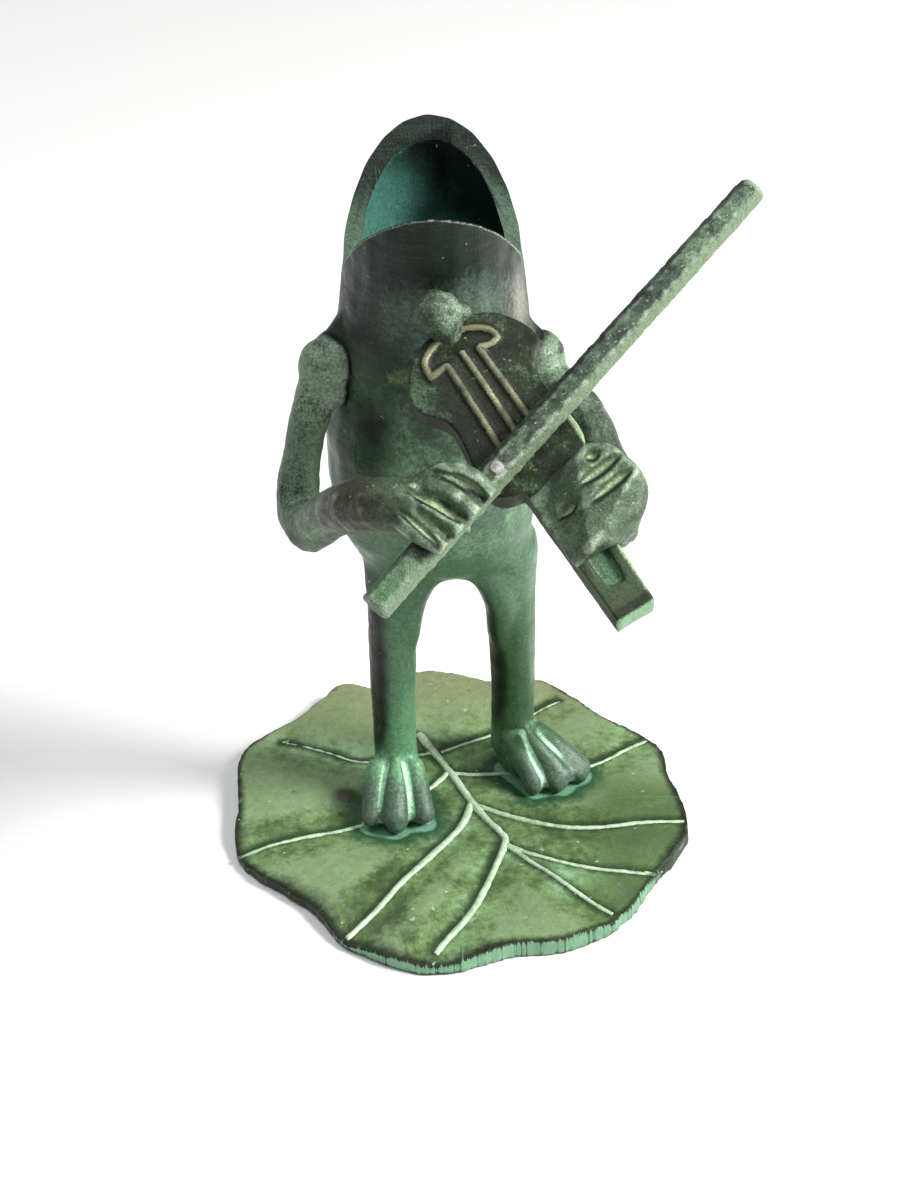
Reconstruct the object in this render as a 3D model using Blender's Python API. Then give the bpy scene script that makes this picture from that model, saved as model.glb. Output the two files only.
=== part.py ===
"""Cast frog violinist on a lily pad: a hollow, open-mouthed figure with its arms, violin and bow fixed on.

The frog faces -Y and stands on +Z. The origin is the middle of the lily pad's flat underside.
"Right" and "left" are the frog's own, so its right arm is on the -X side.
"""

import math

import bmesh
import bpy
from mathutils import Matrix, Vector

# Clearances
SEAT_GAP = 0.0003       # between castings that sit on or in each other
PIN_GAP = 0.0003        # round a pin or screw in its hole

# Lily pad
LEAF_RADIUS = 0.080
LEAF_THICKNESS = 0.0065
LEAF_EDGE_ROUND = 0.0012
LEAF_LOBES = (
    # (degrees from +X, share of the radius), anticlockwise
    (-9, 0.99), (12, 0.94), (27, 0.98), (45, 0.92), (58, 0.96), (69, 1.01), (80, 0.95), (93, 1.01),
    (105, 1.00), (115, 0.94), (120, 1.08), (134, 1.04), (147, 1.08), (155, 1.10), (172, 1.00),
    (191, 1.01), (207, 0.90), (219, 0.86), (236, 0.93), (250, 0.95), (265, 0.97), (277, 0.92),
    (294, 0.94), (305, 0.96), (313, 0.96), (331, 0.93), (343, 0.97),
)
VEIN_RADIUS = 0.0011
VEIN_SINK = 0.0004      # how far a vein's middle lies under the top of the pad
VEINS = (
    # points in millimetres along each vein, for a pad of LEAF_DRAWN radius
    ((-15, 44), (-3, 20), (3, 4), (14, -15), (7, -40), (-11, -72)),
    ((3, 4), (-12, -24), (-41, -62)),
    ((4, 3), (30, -9), (76, -9)),
    ((14, -17), (33, -29), (64, -36)),
    ((14, -18), (32, -39), (49, -57)),
    ((-7, 20), (-34, -5), (-77, -17)),
    ((-4, 23), (28, 21), (66, 36)),
    ((-10, 33), (-34, 30), (-62, 42)),
    ((-7, 33), (11, 42), (36, 60)),
)
LEAF_DRAWN = 80

# Figure
STANCE_Y = 0.008        # how far the body's middle stands behind the pad's middle
LEG_LENGTH = 0.0985      # sole to crotch
TORSO_HEIGHT = 0.1159   # crotch to the corners of the mouth
JAW_RISE = 0.0365       # corners of the mouth to the tips of the jaws
TORSO_WIDTH = 0.068
TORSO_DEPTH = 0.063
MOUTH_CUT_REACH = 2.5   # how far the cutting wedge runs on, in jaw rises
WALL = 0.005
CAVITY_FLOOR = 0.16     # share of the torso's height at which the hollow starts
TORSO_STATIONS = (
    # (share of the height, middle in X, half width, front, back), the last three as shares of the half sizes
    (0.00, 0.0010, 0.26, 0.18, 0.22),
    (0.03, -0.0010, 0.58, 0.36, 0.44),
    (0.08, -0.0030, 0.83, 0.58, 0.66),
    (0.19, -0.0050, 0.95, 0.86, 0.84),
    (0.36, -0.0060, 1.00, 1.08, 0.93),
    (0.53, -0.0060, 1.00, 1.05, 0.90),
    (0.74, -0.0045, 0.955, 0.985, 0.92),
    (0.88, -0.0035, 0.895, 0.985, 0.98),
    (1.00, -0.0030, 0.84, 1.015, 1.04),
)
HEAD_STATIONS = (
    # the same, with the height as a share of the jaws' rise above the corners of the mouth
    (0.55, -0.0030, 0.82, 1.06, 1.07),
    (1.20, -0.0030, 0.81, 1.10, 1.05),
)
RING_SIDES = 24
EYE_RADIUS = 0.0075
EYE_SPREAD = 0.013      # each eye's distance from the middle of the head
EYE_HEIGHT = 0.012      # above the corners of the mouth
EYE_STAND = 0.0015      # how far an eye's middle stands out of the back of the head

# Legs and feet
LEG_RADIUS = 0.0082
LEG_BOW = 0.0012        # how far each leg bends outwards
HIP_RADIUS = 0.0125
HIP_MIDDLE_X = -0.0010
HIP_SPREAD = 0.0175
RIGHT_ANKLE = (-0.0228, 0.014)
LEFT_ANKLE = (0.0188, 0.028)
ANKLE_HEIGHT = 0.020
TOE_RADIUS = 0.0042
RIGHT_TOES = ((-0.0315, -0.007), (-0.0232, -0.013), (-0.0140, -0.008))
LEFT_TOES = ((0.0265, 0.006), (0.0355, 0.007), (0.0440, 0.0125))
HEEL_BACK = 0.007
FOOT_SEAT_MARGIN = 0.0035   # clear of veins round each foot
FOOT_SEAT_DEPTH = 0.0003

# Arms
RIGHT_SHOULDER_DROP = 0.028   # under the corners of the mouth
LEFT_SHOULDER_DROP = 0.034
SHOULDER_RADIUS = 0.0085
SHOULDER_FORWARD = 0.010
ARM_RADIUS = 0.0071
FOREARM_RADIUS = 0.0082
RIGHT_ELBOW = (-0.0090, -0.024, -0.041)   # from the shoulder
LEFT_ELBOW = (0.0185, -0.036, -0.013)
FINGER_RADIUS = 0.0038
FINGER_PITCH = 0.0070
HAND_WRAP = 0.0010      # how far the fingers' tips reach past the edge that they hold

# Violin
VIOLIN_LENGTH = 0.1045
VIOLIN_BODY_LENGTH = 0.055
VIOLIN_THICKNESS = 0.011
VIOLIN_HALF_WIDTH = 0.0235
VIOLIN_WAIST = 0.017
NECK_HALF_WIDTH = 0.0070
NECK_THICKNESS = 0.011
VIOLIN_STANDOFF = 0.007   # of the tail from the front of the chest
VIOLIN_TAIL_DROP = 0.0005  # of the tail below the corners of the mouth
VIOLIN_AIM = (0.500, -0.691, -0.522)
VIOLIN_FACING = (-0.022, -0.612, 0.790)

# Bow
BOW_RADIUS = 0.0043
BOW_SIDES = 6
BOW_CROSSING = 0.42     # share of the violin's length at which the bow crosses it
BOW_HEEL_GROWTH = 1.08  # how much thicker the bow is at its heel
BOW_CLEARANCE = 0.0018  # of the bow above the violin's face
BOW_ANGLE = 17.0        # degrees between the bow and the violin's width
BOW_HEEL = 0.068        # from the crossing to the end in the hand
BOW_TIP = 0.106         # from the crossing to the far end
RIGHT_HAND_ON_BOW = 0.033   # from the crossing to the middle of the hand
LEFT_HAND_ON_NECK = 0.070   # from the violin's tail to the middle of the hand

# Fixings
STUD_HEAD_RADIUS = 0.0075
STUD_SHANK_RADIUS = 0.0020
STUD_NUT_WIDTH = 0.0075
STUD_NUT_HEIGHT = 0.0032
STUD_WASHER_RADIUS = 0.0048
WASHER_THICKNESS = 0.0010
SHOULDER_PIN_RADIUS = 0.0024
SHOULDER_PIN_LENGTH = 0.0150
HAND_PIN_RADIUS = 0.0016
BOW_RIVET_HEAD = 0.0024
RIVET_FROM_HAND = 0.0195  # along the bow from the middle of the right hand
FOOT_SCREW_RADIUS = 0.0020
FOOT_SCREW_LENGTH = 0.0140
FOOT_SCREW_HEAD_RADIUS = 0.0036
FOOT_SCREW_HEAD_HEIGHT = 0.0022
FOOT_WASHER_RADIUS = 0.0044
FOOT_RECESS_DEPTH = 0.0040

# Places that follow
SOLE_Z = LEAF_THICKNESS - FOOT_SEAT_DEPTH + SEAT_GAP
CROTCH_Z = SOLE_Z + LEG_LENGTH
MOUTH_Z = CROTCH_Z + TORSO_HEIGHT
TOP_Z = MOUTH_Z + JAW_RISE
BOW_LIFT = BOW_RADIUS * BOW_HEEL_GROWTH + BOW_CLEARANCE

for old in list(bpy.data.objects):
    bpy.data.objects.remove(old, do_unlink=True)
figure = bpy.data.collections.new("frog_violinist")
helpers = bpy.data.collections.new("cutters")
bpy.context.scene.collection.children.link(figure)
bpy.context.scene.collection.children.link(helpers)


# ---------------------------------------------------------------- tools

def metal(name, colour, roughness, metallic):
    """A Principled material."""
    made = bpy.data.materials.new(name)
    made.use_nodes = True
    shader = made.node_tree.nodes["Principled BSDF"]
    shader.inputs["Base Color"].default_value = (*colour, 1.0)
    shader.inputs["Roughness"].default_value = roughness
    shader.inputs["Metallic"].default_value = metallic
    return made


def new_object(name, data, material=None):
    """An object of the figure where it has a material, and a helper where it has none."""
    obj = bpy.data.objects.new(name, data)
    if material is None:
        helpers.objects.link(obj)
        obj.hide_render = True
        obj.display_type = "WIRE"
    else:
        figure.objects.link(obj)
        data.materials.append(material)
    return obj


def meshed(curve, material=None):
    """The curve as a mesh object with its caps welded on. The curve is removed."""
    name = curve.name
    bpy.context.view_layer.update()
    graph = bpy.context.evaluated_depsgraph_get()
    mesh = bpy.data.meshes.new_from_object(curve.evaluated_get(graph))
    edit = bmesh.new()
    edit.from_mesh(mesh)
    bmesh.ops.remove_doubles(edit, verts=edit.verts, dist=0.00001)
    bmesh.ops.recalc_face_normals(edit, faces=edit.faces)
    edit.to_mesh(mesh)
    edit.free()
    mesh.materials.clear()
    matrix = curve.matrix_world.copy()
    bpy.data.objects.remove(curve, do_unlink=True)
    obj = new_object(name, mesh, material)
    obj.matrix_world = matrix
    return obj


def limb(name, points, radii, material=None, sides=4):
    """A tapering round rod through the points, with a radius at each."""
    data = bpy.data.curves.new(name, "CURVE")
    data.dimensions = "3D"
    data.bevel_depth = 1.0
    data.bevel_resolution = sides
    data.use_fill_caps = True
    data.resolution_u = 3
    spline = data.splines.new("BEZIER")
    spline.radius_interpolation = "CARDINAL"
    spline.bezier_points.add(len(points) - 1)
    for knot, point, radius in zip(spline.bezier_points, points, radii):
        knot.co = point
        knot.radius = radius
        knot.handle_left_type = "AUTO"
        knot.handle_right_type = "AUTO"
    return meshed(new_object(name, data), material)


def plate(name, outline, thickness, matrix, material=None, curved=True, rounding=0.0):
    """A flat piece of that outline, curved or straight, whose underside lies in the matrix's XY plane."""
    data = bpy.data.curves.new(name, "CURVE")
    data.dimensions = "2D"
    data.fill_mode = "BOTH"
    data.extrude = thickness / 2 - rounding
    data.bevel_depth = rounding
    data.bevel_resolution = 1
    data.offset = -rounding
    data.resolution_u = 2
    spline = data.splines.new("BEZIER")
    spline.bezier_points.add(len(outline) - 1)
    spline.use_cyclic_u = True
    for knot, (x, y) in zip(spline.bezier_points, outline):
        knot.co = (x, y, 0)
        handle = "AUTO" if curved else "VECTOR"
        knot.handle_left_type = handle
        knot.handle_right_type = handle
    curve = new_object(name, data)
    curve.matrix_world = matrix @ Matrix.Translation((0, 0, thickness / 2))
    return meshed(curve, material)


def rod(name, start, end, radius, material=None, sides=16, end_radius=None):
    """A straight round or many-sided rod, tapered where it has an end radius."""
    start, end = Vector(start), Vector(end)
    edit = bmesh.new()
    bmesh.ops.create_cone(
        edit, cap_ends=True, segments=sides, radius1=radius,
        radius2=radius if end_radius is None else end_radius, depth=(end - start).length,
    )
    mesh = bpy.data.meshes.new(name)
    edit.to_mesh(mesh)
    edit.free()
    obj = new_object(name, mesh, material)
    turn = (end - start).to_track_quat("Z", "Y")
    obj.matrix_world = Matrix.Translation((start + end) / 2) @ turn.to_matrix().to_4x4()
    return obj


def ball(name, middle, radii, material=None, segments=16):
    """A ball or an ellipsoid."""
    edit = bmesh.new()
    bmesh.ops.create_uvsphere(edit, u_segments=segments, v_segments=segments * 5 // 8, radius=1.0)
    bmesh.ops.scale(edit, vec=radii, verts=edit.verts)
    mesh = bpy.data.meshes.new(name)
    edit.to_mesh(mesh)
    edit.free()
    obj = new_object(name, mesh, material)
    obj.location = middle
    return obj


def block(name, low, high, matrix=None, material=None):
    """A box between two corners."""
    low, high = Vector(low), Vector(high)
    edit = bmesh.new()
    bmesh.ops.create_cube(edit, size=1.0)
    bmesh.ops.scale(edit, vec=high - low, verts=edit.verts)
    bmesh.ops.translate(edit, vec=(low + high) / 2, verts=edit.verts)
    mesh = bpy.data.meshes.new(name)
    edit.to_mesh(mesh)
    edit.free()
    obj = new_object(name, mesh, material)
    obj.matrix_world = matrix or Matrix.Identity(4)
    return obj


def combine(target, operation, *others):
    """Adds one Boolean for each other object. The arms' bent fingers need the manifold solver."""
    for other in others:
        step = target.modifiers.new(f"{operation.lower()}_{other.name}", "BOOLEAN")
        step.operation = operation
        step.object = other
        step.solver = "MANIFOLD" if target.name.endswith("arm_casting") else "EXACT"


def axes_matrix(origin, x_axis, y_axis, z_axis):
    """The matrix of a place with those three unit axes."""
    turned = Matrix((x_axis, y_axis, z_axis)).transposed().to_4x4()
    return Matrix.Translation(origin) @ turned


def smooth(obj, angle=35):
    """Shades the round parts smooth and keeps sharp edges."""
    obj.data.shade_smooth()
    obj.data.set_sharp_from_angle(angle=math.radians(angle))


# ---------------------------------------------------------------- shape of the torso and head

def stations():
    """(z, middle in X, half width, front, back) in metres, from the crotch up."""
    half_width, half_depth = TORSO_WIDTH / 2, TORSO_DEPTH / 2
    rows = [(CROTCH_Z + share * TORSO_HEIGHT, *rest) for share, *rest in TORSO_STATIONS]
    rows += [(MOUTH_Z + share * JAW_RISE, *rest) for share, *rest in HEAD_STATIONS]
    return [(z, x, w * half_width, f * half_depth, b * half_depth) for z, x, w, f, b in rows]


def section(z):
    """(middle in X, half width, front, back) of the torso at that height."""
    rows = stations()
    for low, high in zip(rows, rows[1:]):
        if z <= high[0]:
            share = max(0.0, (z - low[0]) / (high[0] - low[0]))
            return tuple(a + (b - a) * share for a, b in zip(low[1:], high[1:]))
    return rows[-1][1:]


def chest_y(x, z):
    """Where the front of the torso is at that place."""
    middle, half_width, front, _ = section(z)
    share = min(1.0, abs(x - middle) / half_width)
    return STANCE_Y - front * math.sqrt(1.0 - share * share)


def torso_loft(name, grow, material=None, floor_z=None):
    """A closed skin through the torso's sections, grown or shrunk by that much."""
    rows = [row for row in stations() if floor_z is None or row[0] > floor_z]
    if floor_z is not None:
        rows.insert(0, (floor_z, *section(floor_z)))
    edit = bmesh.new()
    rings = []
    for z, middle, half_width, front, back in rows:
        ring = []
        for step in range(RING_SIDES):
            angle = 2 * math.pi * step / RING_SIDES
            depth = back if math.sin(angle) > 0 else front
            x = middle + (half_width + grow) * math.cos(angle)
            y = STANCE_Y + (depth + grow) * math.sin(angle)
            ring.append(edit.verts.new((x, y, z)))
        rings.append(ring)
    for lower, upper in zip(rings, rings[1:]):
        for step in range(RING_SIDES):
            after = (step + 1) % RING_SIDES
            edit.faces.new((lower[step], lower[after], upper[after], upper[step]))
    edit.faces.new(tuple(reversed(rings[0])))
    edit.faces.new(rings[-1])
    mesh = bpy.data.meshes.new(name)
    edit.to_mesh(mesh)
    edit.free()
    return new_object(name, mesh, material)


# ---------------------------------------------------------------- places of the violin, bow and hands

def violin_axes():
    """(origin at the tail, along, across, facing): across points to the frog's left."""
    tail_z = MOUTH_Z - VIOLIN_TAIL_DROP
    tail = Vector((0.001, chest_y(0.001, tail_z) - VIOLIN_STANDOFF, tail_z))
    along = Vector(VIOLIN_AIM).normalized()
    facing = Vector(VIOLIN_FACING)
    facing = (facing - along * facing.dot(along)).normalized()
    return tail, along, facing.cross(along), facing


def violin_point(along_by, across_by=0.0, up_by=0.0):
    """A point from the violin's tail, with its face at up 0."""
    tail, along, across, facing = violin_axes()
    return tail + along * along_by + across * across_by + facing * up_by


def bow_axes():
    """(middle of the bow at the crossing, along, across, facing): across points down the violin."""
    _, along, across, facing = violin_axes()
    turn = math.radians(BOW_ANGLE)
    bow_along = (across * math.cos(turn) - along * math.sin(turn)).normalized()
    origin = violin_point(VIOLIN_LENGTH * BOW_CROSSING, 0, BOW_LIFT)
    return origin, bow_along, bow_along.cross(facing), facing


def bow_point(along_by, across_by=0.0, up_by=0.0):
    """A point from the crossing, along the bow towards its tip."""
    origin, along, across, facing = bow_axes()
    return origin + along * along_by + across * across_by + facing * up_by


def shoulder(side):
    """The middle of a shoulder, -1 for the right and 1 for the left."""
    z = MOUTH_Z - (LEFT_SHOULDER_DROP if side > 0 else RIGHT_SHOULDER_DROP)
    middle, half_width, front, _ = section(z)
    y = STANCE_Y - SHOULDER_FORWARD
    share = math.sqrt(1.0 - (SHOULDER_FORWARD / front) ** 2)
    x = middle + side * (half_width * share + SHOULDER_RADIUS * 0.45)
    return Vector((x, y, z))


# ---------------------------------------------------------------- materials

bronze = metal("bronze_dark", (0.055, 0.085, 0.070), 0.45, 0.55)
leaf_green = metal("bronze_leaf", (0.130, 0.220, 0.110), 0.50, 0.35)
violin_green = metal("bronze_violin", (0.060, 0.075, 0.050), 0.45, 0.50)
steel = metal("plated_steel", (0.55, 0.55, 0.53), 0.35, 1.0)


# ---------------------------------------------------------------- lily pad

def vein(number, points):
    """A raised rib on the pad, thinner towards its far end."""
    scale = LEAF_RADIUS / LEAF_DRAWN
    z = LEAF_THICKNESS - VEIN_SINK
    places = [(x * scale, y * scale, z) for x, y in points]
    radii = [VEIN_RADIUS * (1.15 - 0.35 * step / (len(points) - 1)) for step in range(len(points))]
    return limb(f"vein_{number}", places, radii, sides=2)


def foot_middle(ankle, toes):
    """Where the screw goes into a foot."""
    tip = Vector(toes[1])
    return Vector(ankle) * 0.75 + tip * 0.25


def foot_outline(ankle, toes):
    """The flat place round a foot in which the pad has no veins."""
    ankle = Vector(ankle)
    back = (ankle - Vector(toes[1])).normalized()
    side = Vector((back.y, -back.x)) * LEG_RADIUS * 1.2
    corners = [Vector(toe) for toe in toes] + [ankle + side, ankle + back * HEEL_BACK * 1.4, ankle - side]
    middle = sum(corners, Vector((0, 0))) / len(corners)
    return [corner + (corner - middle).normalized() * FOOT_SEAT_MARGIN for corner in corners]


def lily_pad():
    outline = []
    for degrees, share in LEAF_LOBES:
        angle = math.radians(degrees)
        reach = LEAF_RADIUS * share
        outline.append((reach * math.cos(angle), reach * math.sin(angle)))
    pad = plate("lily_pad_base", outline, LEAF_THICKNESS, Matrix.Identity(4), leaf_green,
                rounding=LEAF_EDGE_ROUND)
    ribs = [vein(number, points) for number, points in enumerate(VEINS)]
    combine(pad, "UNION", *ribs)
    for side, ankle, toes in (("right", RIGHT_ANKLE, RIGHT_TOES), ("left", LEFT_ANKLE, LEFT_TOES)):
        middle = foot_middle(ankle, toes)
        hole = rod(f"{side}_screw_hole", (*middle, -0.001), (*middle, LEAF_THICKNESS + 0.003),
                   FOOT_SCREW_RADIUS + PIN_GAP)
        recess = rod(f"{side}_screw_recess", (*middle, -0.001), (*middle, FOOT_RECESS_DEPTH),
                     FOOT_WASHER_RADIUS + PIN_GAP)
        seat = plate(f"{side}_foot_seat", foot_outline(ankle, toes), 0.005,
                     Matrix.Translation((0, 0, LEAF_THICKNESS - FOOT_SEAT_DEPTH)))
        combine(pad, "DIFFERENCE", seat, hole, recess)
    smooth(pad)
    return pad


# ---------------------------------------------------------------- body casting

def leg(side, ankle):
    """A leg from inside the hip to the ankle."""
    sign = -1 if side == "right" else 1
    x, y = ankle
    hip = Vector((HIP_MIDDLE_X + sign * HIP_SPREAD, STANCE_Y, CROTCH_Z + HIP_RADIUS))
    foot = Vector((x, y, SOLE_Z + ANKLE_HEIGHT))
    points = [hip, hip.lerp(foot, 0.30), hip.lerp(foot, 0.65), foot,
              foot - Vector((0, 0, ANKLE_HEIGHT * 0.65))]
    points[1].x += sign * LEG_BOW
    points[2].x += sign * LEG_BOW
    radii = (HIP_RADIUS, LEG_RADIUS * 1.12, LEG_RADIUS, LEG_RADIUS * 0.95, LEG_RADIUS * 1.05)
    return limb(f"{side}_leg", points, radii)


def foot(side, ankle, toes):
    """Three toes that fan out of the ankle, and a heel."""
    x, y = ankle
    pieces = []
    for number, (toe_x, toe_y) in enumerate(toes):
        start = Vector((x, y, SOLE_Z + ANKLE_HEIGHT * 0.75))
        tip = Vector((toe_x, toe_y, SOLE_Z + TOE_RADIUS * 0.45))
        middle = start.lerp(tip, 0.55)
        middle.z = SOLE_Z + ANKLE_HEIGHT * 0.42
        last = start.lerp(tip, 0.90)
        last.z = SOLE_Z + TOE_RADIUS * 0.75
        radii = (TOE_RADIUS * 1.1, TOE_RADIUS * 1.05, TOE_RADIUS, TOE_RADIUS * 0.5)
        pieces.append(limb(f"{side}_toe_{number}", [start, middle, last, tip], radii, sides=2))
    tip = Vector(toes[1])
    back = (Vector(ankle) - tip).normalized()
    sole_middle = Vector(ankle).lerp(tip, 0.35)
    end = Vector(ankle) + back * HEEL_BACK
    height = SOLE_Z + TOE_RADIUS
    pieces.append(limb(f"{side}_heel",
                       [(*sole_middle, height), (*ankle, height), (*end, SOLE_Z + TOE_RADIUS * 0.6)],
                       (TOE_RADIUS * 1.8, TOE_RADIUS * 1.9, TOE_RADIUS * 0.8), sides=2))
    return pieces


def body_casting():
    body = torso_loft("body_casting", 0.0, material=bronze)
    combine(body, "UNION", leg("right", RIGHT_ANKLE), leg("left", LEFT_ANKLE))
    combine(body, "UNION", *foot("right", RIGHT_ANKLE, RIGHT_TOES), *foot("left", LEFT_ANKLE, LEFT_TOES))

    eye_z = MOUTH_Z + EYE_HEIGHT
    middle, half_width, _, back = section(eye_z)
    for side, sign in (("right", -1), ("left", 1)):
        x = middle + sign * EYE_SPREAD
        skin_y = STANCE_Y + back * math.sqrt(1.0 - (EYE_SPREAD / half_width) ** 2)
        combine(body, "UNION",
                ball(f"{side}_eye", (x, skin_y + EYE_STAND, eye_z), (EYE_RADIUS,) * 3))

    floor_z = CROTCH_Z + CAVITY_FLOOR * TORSO_HEIGHT
    combine(body, "DIFFERENCE", torso_loft("cavity", -WALL, floor_z=floor_z))

    _, _, front, back = section(TOP_Z)
    wedge = [(STANCE_Y, MOUTH_Z),
             (STANCE_Y + back * MOUTH_CUT_REACH, MOUTH_Z + JAW_RISE * MOUTH_CUT_REACH),
             (STANCE_Y - front * MOUTH_CUT_REACH, MOUTH_Z + JAW_RISE * MOUTH_CUT_REACH)]
    upright = axes_matrix(Vector((-TORSO_WIDTH, 0, 0)), Vector((0, 1, 0)), Vector((0, 0, 1)), Vector((1, 0, 0)))
    mouth = plate("mouth_wedge", wedge, TORSO_WIDTH * 2, upright, curved=False)
    combine(body, "DIFFERENCE", mouth)

    ground = block("ground", (-LEAF_RADIUS, -LEAF_RADIUS, -0.02), (LEAF_RADIUS, LEAF_RADIUS, SOLE_Z))
    combine(body, "DIFFERENCE", ground)
    smooth(body)
    return body


# ---------------------------------------------------------------- arms

def right_arm():
    """Shoulder ball, bent arm, and a hand with four fingers over the bow and a thumb under it."""
    start = shoulder(-1)
    elbow = start + Vector(RIGHT_ELBOW)
    hand = -RIGHT_HAND_ON_BOW
    wrist = bow_point(hand - 0.010, -0.020, 0.000)
    arm = limb("right_arm_casting",
               [start, start.lerp(elbow, 0.5) + Vector((-0.0015, 0, 0)), elbow, elbow.lerp(wrist, 0.5), wrist,
                bow_point(hand - 0.003, -0.0095, 0.0035)],
               (ARM_RADIUS, ARM_RADIUS, ARM_RADIUS * 1.1, FOREARM_RADIUS, FOREARM_RADIUS, FOREARM_RADIUS),
               bronze)
    pieces = [ball("right_shoulder_ball", start, (SHOULDER_RADIUS,) * 3)]
    over = BOW_RADIUS + FINGER_RADIUS * 0.75
    edge = BOW_RADIUS + HAND_WRAP
    for number in range(4):
        at = hand + (number - 1.5) * FINGER_PITCH
        root = bow_point(hand - 0.004 + (number - 1.5) * FINGER_PITCH * 0.45, -0.014, 0.003)
        knuckle = bow_point(at, -0.006, over)
        tip = bow_point(at + 0.001, edge, over - FINGER_RADIUS * 0.5)
        radii = (FINGER_RADIUS * 1.2, FINGER_RADIUS * 1.1, FINGER_RADIUS * 0.8)
        pieces.append(limb(f"right_finger_{number}", [root, knuckle, tip], radii, sides=2))
    under = -BOW_RADIUS - FINGER_RADIUS * 0.8
    pieces.append(limb("right_thumb",
                       [bow_point(hand - 0.004, -0.012, 0.0), bow_point(hand + 0.001, -0.003, under),
                        bow_point(hand + 0.005, 0.002, under)],
                       (FINGER_RADIUS * 1.4, FINGER_RADIUS * 1.1, FINGER_RADIUS), sides=2))
    combine(arm, "UNION", *pieces)
    smooth(arm)
    return arm


def left_arm():
    """Shoulder ball, bent arm, and a hand with four fingers over the violin's neck."""
    start = shoulder(1)
    elbow = start + Vector(LEFT_ELBOW)
    hand = LEFT_HAND_ON_NECK
    side = NECK_HALF_WIDTH
    palm = violin_point(hand, side + 0.0045, -NECK_THICKNESS * 0.75)
    arm = limb("left_arm_casting",
               [start, start.lerp(elbow, 0.5) + Vector((0.003, 0, 0.002)), elbow,
                elbow.lerp(palm, 0.5) + Vector((0.004, 0, -0.001)), palm],
               (ARM_RADIUS, ARM_RADIUS, ARM_RADIUS, ARM_RADIUS * 1.05, FOREARM_RADIUS * 1.2),
               bronze)
    pieces = [ball("left_shoulder_ball", start, (SHOULDER_RADIUS,) * 3)]
    for number in range(4):
        at = hand + (number - 1.5) * FINGER_PITCH * 0.95
        root = violin_point(at, side + 0.006, -NECK_THICKNESS * 0.45)
        knuckle = violin_point(at, side * 0.6, FINGER_RADIUS * 0.7)
        tip = violin_point(at + 0.001, -side - HAND_WRAP, FINGER_RADIUS * 0.1)
        radii = (FINGER_RADIUS * 1.4, FINGER_RADIUS * 1.15, FINGER_RADIUS * 0.85)
        pieces.append(limb(f"left_finger_{number}", [root, knuckle, tip], radii, sides=2))
    pieces.append(limb("left_thumb",
                       [violin_point(hand - 0.006, side + 0.003, -NECK_THICKNESS - FINGER_RADIUS * 0.6),
                        violin_point(hand - 0.008, -side * 0.4, -NECK_THICKNESS - FINGER_RADIUS * 0.7)],
                       (FINGER_RADIUS * 1.3, FINGER_RADIUS), sides=2))
    combine(arm, "UNION", *pieces)
    smooth(arm)
    return arm


# ---------------------------------------------------------------- violin and bow

def half_outline():
    """(along, half width) of the violin's body from its tail to the root of the neck."""
    length, wide, waist = VIOLIN_BODY_LENGTH, VIOLIN_HALF_WIDTH, VIOLIN_WAIST
    return ((0.05 * length, 0.30 * wide), (0.08 * length, 0.65 * wide), (0.16 * length, 0.88 * wide),
            (0.28 * length, wide), (0.36 * length, 0.94 * wide), (0.45 * length, 1.10 * waist),
            (0.55 * length, waist), (0.68 * length, 1.08 * waist), (0.80 * length, 1.16 * waist),
            (0.92 * length, 1.00 * waist), (length, 0.55 * waist))


def violin(grow=0.0, material=None):
    """The body, neck and scroll in one casting, grown all round where it serves as a cutter."""
    tail, along, across, facing = violin_axes()
    under = tail - facing * (VIOLIN_THICKNESS + grow)
    matrix = axes_matrix(under, along, across, facing)
    half = half_outline()
    outline = [(x, -(y + grow)) for x, y in half] + [(x, y + grow) for x, y in reversed(half)]
    name = "violin_casting" if material else "violin_room"
    body = plate(name, outline, VIOLIN_THICKNESS + 2 * grow, matrix, material)
    neck_matrix = axes_matrix(tail, along, across, facing)
    side = NECK_HALF_WIDTH + grow
    neck = block(f"{name}_neck", (VIOLIN_BODY_LENGTH * 0.8, -side, -NECK_THICKNESS - grow),
                 (VIOLIN_LENGTH + grow, side, grow), neck_matrix)
    combine(body, "UNION", neck)
    return body


def bow(grow=0.0, material=None):
    """A six-sided stick, a little thicker at the heel."""
    name = "bow_casting" if material else "bow_room"
    return rod(name, bow_point(-BOW_HEEL - grow), bow_point(BOW_TIP + grow), BOW_RADIUS * BOW_HEEL_GROWTH + grow,
               material, BOW_SIDES, BOW_RADIUS * 0.98 + grow)


# ---------------------------------------------------------------- fixings

def stud_place():
    """(middle of the stud's ball, where the shank meets the chest, inside of the chest wall)."""
    tail = violin_axes()[0]
    z = tail.z + STUD_HEAD_RADIUS
    x = tail.x - 0.003
    front = chest_y(x, z)
    return Vector((x, front - STUD_HEAD_RADIUS - 0.0008, z)), Vector((x, front, z)), Vector((x, front + WALL, z))


def hex_nut(name, start, end, width, bore):
    """A steel nut between two places, with its width across the flats and its bore's radius."""
    nut = rod(name, start, end, width / math.sqrt(3), steel, 6)
    along = (Vector(end) - Vector(start)).normalized() * 0.001
    combine(nut, "DIFFERENCE", rod(f"{name}_bore", start - along, end + along, bore))
    return nut


def ring(name, start, end, radius, bore, material):
    """A washer or short tube between two places, with its outer radius and its bore's radius."""
    made = rod(name, start, end, radius, material, 20)
    along = (Vector(end) - Vector(start)).normalized() * 0.001
    combine(made, "DIFFERENCE", rod(f"{name}_bore", start - along, end + along, bore))
    return made


pad = lily_pad()
body = body_casting()
arms = {"right": right_arm(), "left": left_arm()}
fiddle = violin(material=violin_green)
stick = bow(material=bronze)
smooth(fiddle)

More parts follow.
